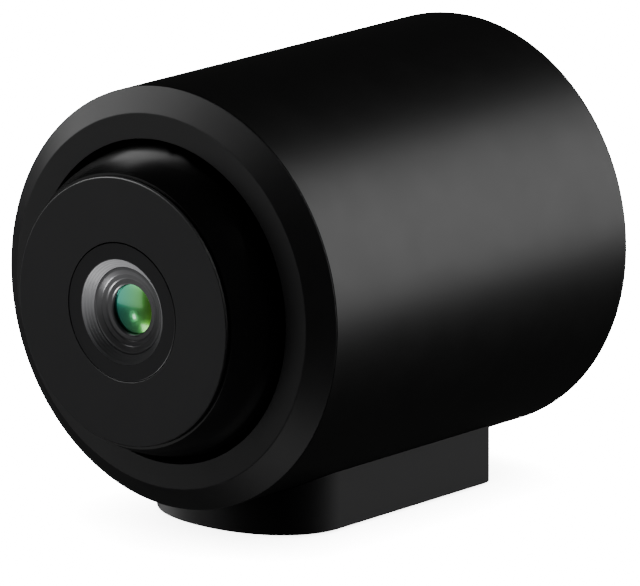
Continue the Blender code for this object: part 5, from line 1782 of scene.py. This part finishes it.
@dataclass
class Studio:
    """The floor, the lights and the camera."""

    layout: Layout
    azimuth: float = 40.22
    elevation: float = 13.86
    distance: float = 0.72
    lens: float = 546.3
    across: float = 11.0
    up: float = 0.41
    floor_size: float = 8.0
    floor_brightness: float = 24.0
    # How far the painted contact shadow reaches, and how much of the floor's glow is left inside it.
    painted_shadow_reach: float = 0.008
    painted_shadow_share: float = 0.25
    ambient: float = 0.02

    def build(self) -> None:
        """Sets the studio up."""
        self.floor()
        self.world()
        self.camera()
        centre = self.layout.rim + Vector((0.0, 0.012, 0.0))
        for light in (
            Softbox("rear_right_box", (0.598, 0.741, 0.305), 0.5, 0.30, 0.50, 3.0),
            Softbox("upper_left_box", (-0.82, -0.22, 0.52), 0.5, 0.50, 0.45, 1.7, spared=DARK_TO_UPPER_LEFT),
            Softbox("top_front_box", (-0.22, -0.64, 0.73), 0.5, 0.26, 0.18, 0.8, ("bezel_ring",)),
            Softbox("edge_box", (-0.63, -0.22, 0.72), 0.5, 0.50, 0.30, 6.5, ("face_plate",)),
            Softbox("left_fill", (-0.95, -0.10, -0.22), 0.5, 0.30, 0.30, 1.5, ("barrel_shell", "foot_block")),
            Softbox("front_left_box", (-0.63, -0.76, -0.05), 0.6, 0.40, 0.40, 0.44, spared=LENS_PIECES[1:]),
            Softbox("low_front_box", (0.22, -0.45, -0.86), 0.5, 0.40, 0.30, 0.6, FRONT_PIECES),
            Softbox(
                "ball_box", (-0.44, 0.69, 0.575), 0.5, 0.46, 0.24, 0.95, ("head_ball",), through=RIM_PIECES,
            ),
            Softbox("funnel_box", (0.15, -0.45, -0.88), 0.5, 0.22, 0.22, 17.0, LENS_PIECES[:2]),
            Softbox("ring_box", (-0.63, -0.20, 0.745), 0.5, 0.16, 0.16, 6.0, LENS_PIECES[1:2]),
            Softbox("glass_box", (-0.74, -0.67, 0.02), 0.5, 0.32, 0.24, 0.8, LENS_PIECES[2:]),
            Softbox("glass_fill", (-0.60, -0.77, -0.12), 0.5, 0.44, 0.36, 0.11, LENS_PIECES[1:]),
            Softbox("glass_top_box", (-0.64, -0.765, 0.07), 0.49, 0.20, 0.06, 1.6, LENS_PIECES[2:]),
            Softbox("glass_edge_box", (-0.445, -0.789, -0.422), 0.5, 0.08, 0.06, 4.0, LENS_PIECES[2:]),
            Softbox("glass_glint", (-0.606, -0.7345, -0.3045), 0.5, 0.02, 0.02, 11.0, LENS_PIECES[2:]),
        ):
            light.build(centre)

    def floor(self) -> None:
        """A pale floor that is seen but throws nothing back, with a painted contact shadow: its glow is
        dimmed close to the object.
        """
        build = bmesh.new()
        bmesh.ops.create_grid(build, x_segments=1, y_segments=1, size=self.floor_size / 2)
        floor = new_object("studio_floor", build)
        material = bpy.data.materials.new("studio_floor")
        material.use_nodes = True
        material.node_tree.nodes.clear()
        graph = Graph(material.node_tree)
        # Painted contact shadow: ambient occlusion dims the floor's glow near the object.
        sockets = {"Distance": self.painted_shadow_reach}
        painted_shadow = graph.add("ShaderNodeAmbientOcclusion", sockets, samples=12).outputs["AO"]
        darkest = self.painted_shadow_share * self.floor_brightness
        light = graph.spread(graph.maths("POWER", painted_shadow, 1.5), darkest, self.floor_brightness)
        glow = graph.add("ShaderNodeEmission", {"Color": WHITE, "Strength": light}).outputs[0]
        graph.add("ShaderNodeOutputMaterial", {"Surface": glow})
        floor.data.materials.append(material)
        for ray in ("diffuse", "glossy", "transmission", "shadow"):
            setattr(floor, f"visible_{ray}", False)

    def world(self) -> None:
        """White to the camera, and almost dark to the object."""
        world = bpy.data.worlds.new("studio")
        bpy.context.scene.world = world
        world.use_nodes = True
        world.node_tree.nodes.clear()
        graph = Graph(world.node_tree)
        seen = graph.add("ShaderNodeLightPath").outputs["Is Camera Ray"]
        strength = graph.spread(seen, self.ambient, self.floor_brightness)
        glow = graph.add("ShaderNodeBackground", {"Color": WHITE, "Strength": strength}).outputs[0]
        graph.add("ShaderNodeOutputWorld", {"Surface": glow})

    def camera(self) -> None:
        """A long lens to the front right, a little above."""
        turn, rise = math.radians(self.azimuth), math.radians(self.elevation)
        back = Vector((math.sin(turn) * math.cos(rise), -math.cos(turn) * math.cos(rise), math.sin(rise)))
        right = Vector((math.cos(turn), math.sin(turn), 0.0))
        above = back.cross(right)
        data = bpy.data.cameras.new("camera")
        data.lens = self.lens
        data.sensor_width = 36.0
        data.clip_start, data.clip_end = 0.05, 20.0
        camera = bpy.data.objects.new("camera", data)
        target = self.layout.rim + (right * self.across + above * self.up) * MM
        turned = Matrix((right, above, back)).transposed().to_4x4()
        camera.matrix_world = Matrix.Translation(target + back * self.distance) @ turned
        bpy.context.scene.collection.objects.link(camera)
        bpy.context.scene.camera = camera


def main() -> None:
    """Builds the object and the studio."""
    logging.basicConfig(level=logging.INFO, format="%(message)s")
    layout = Layout.read()
    finishes = FinishBook(layout)
    shaper = Shaper(finishes)
    for kind in (Barrel, FrontBezel, RearCover, Foot, LensHead, Ribbon, Ports, Controls):
        LOG.info("building %s", kind.__name__)
        kind(layout, finishes, shaper).build()
    Inside(finishes).dress()
    Studio(layout).build()


if __name__ == "__main__":
    main()
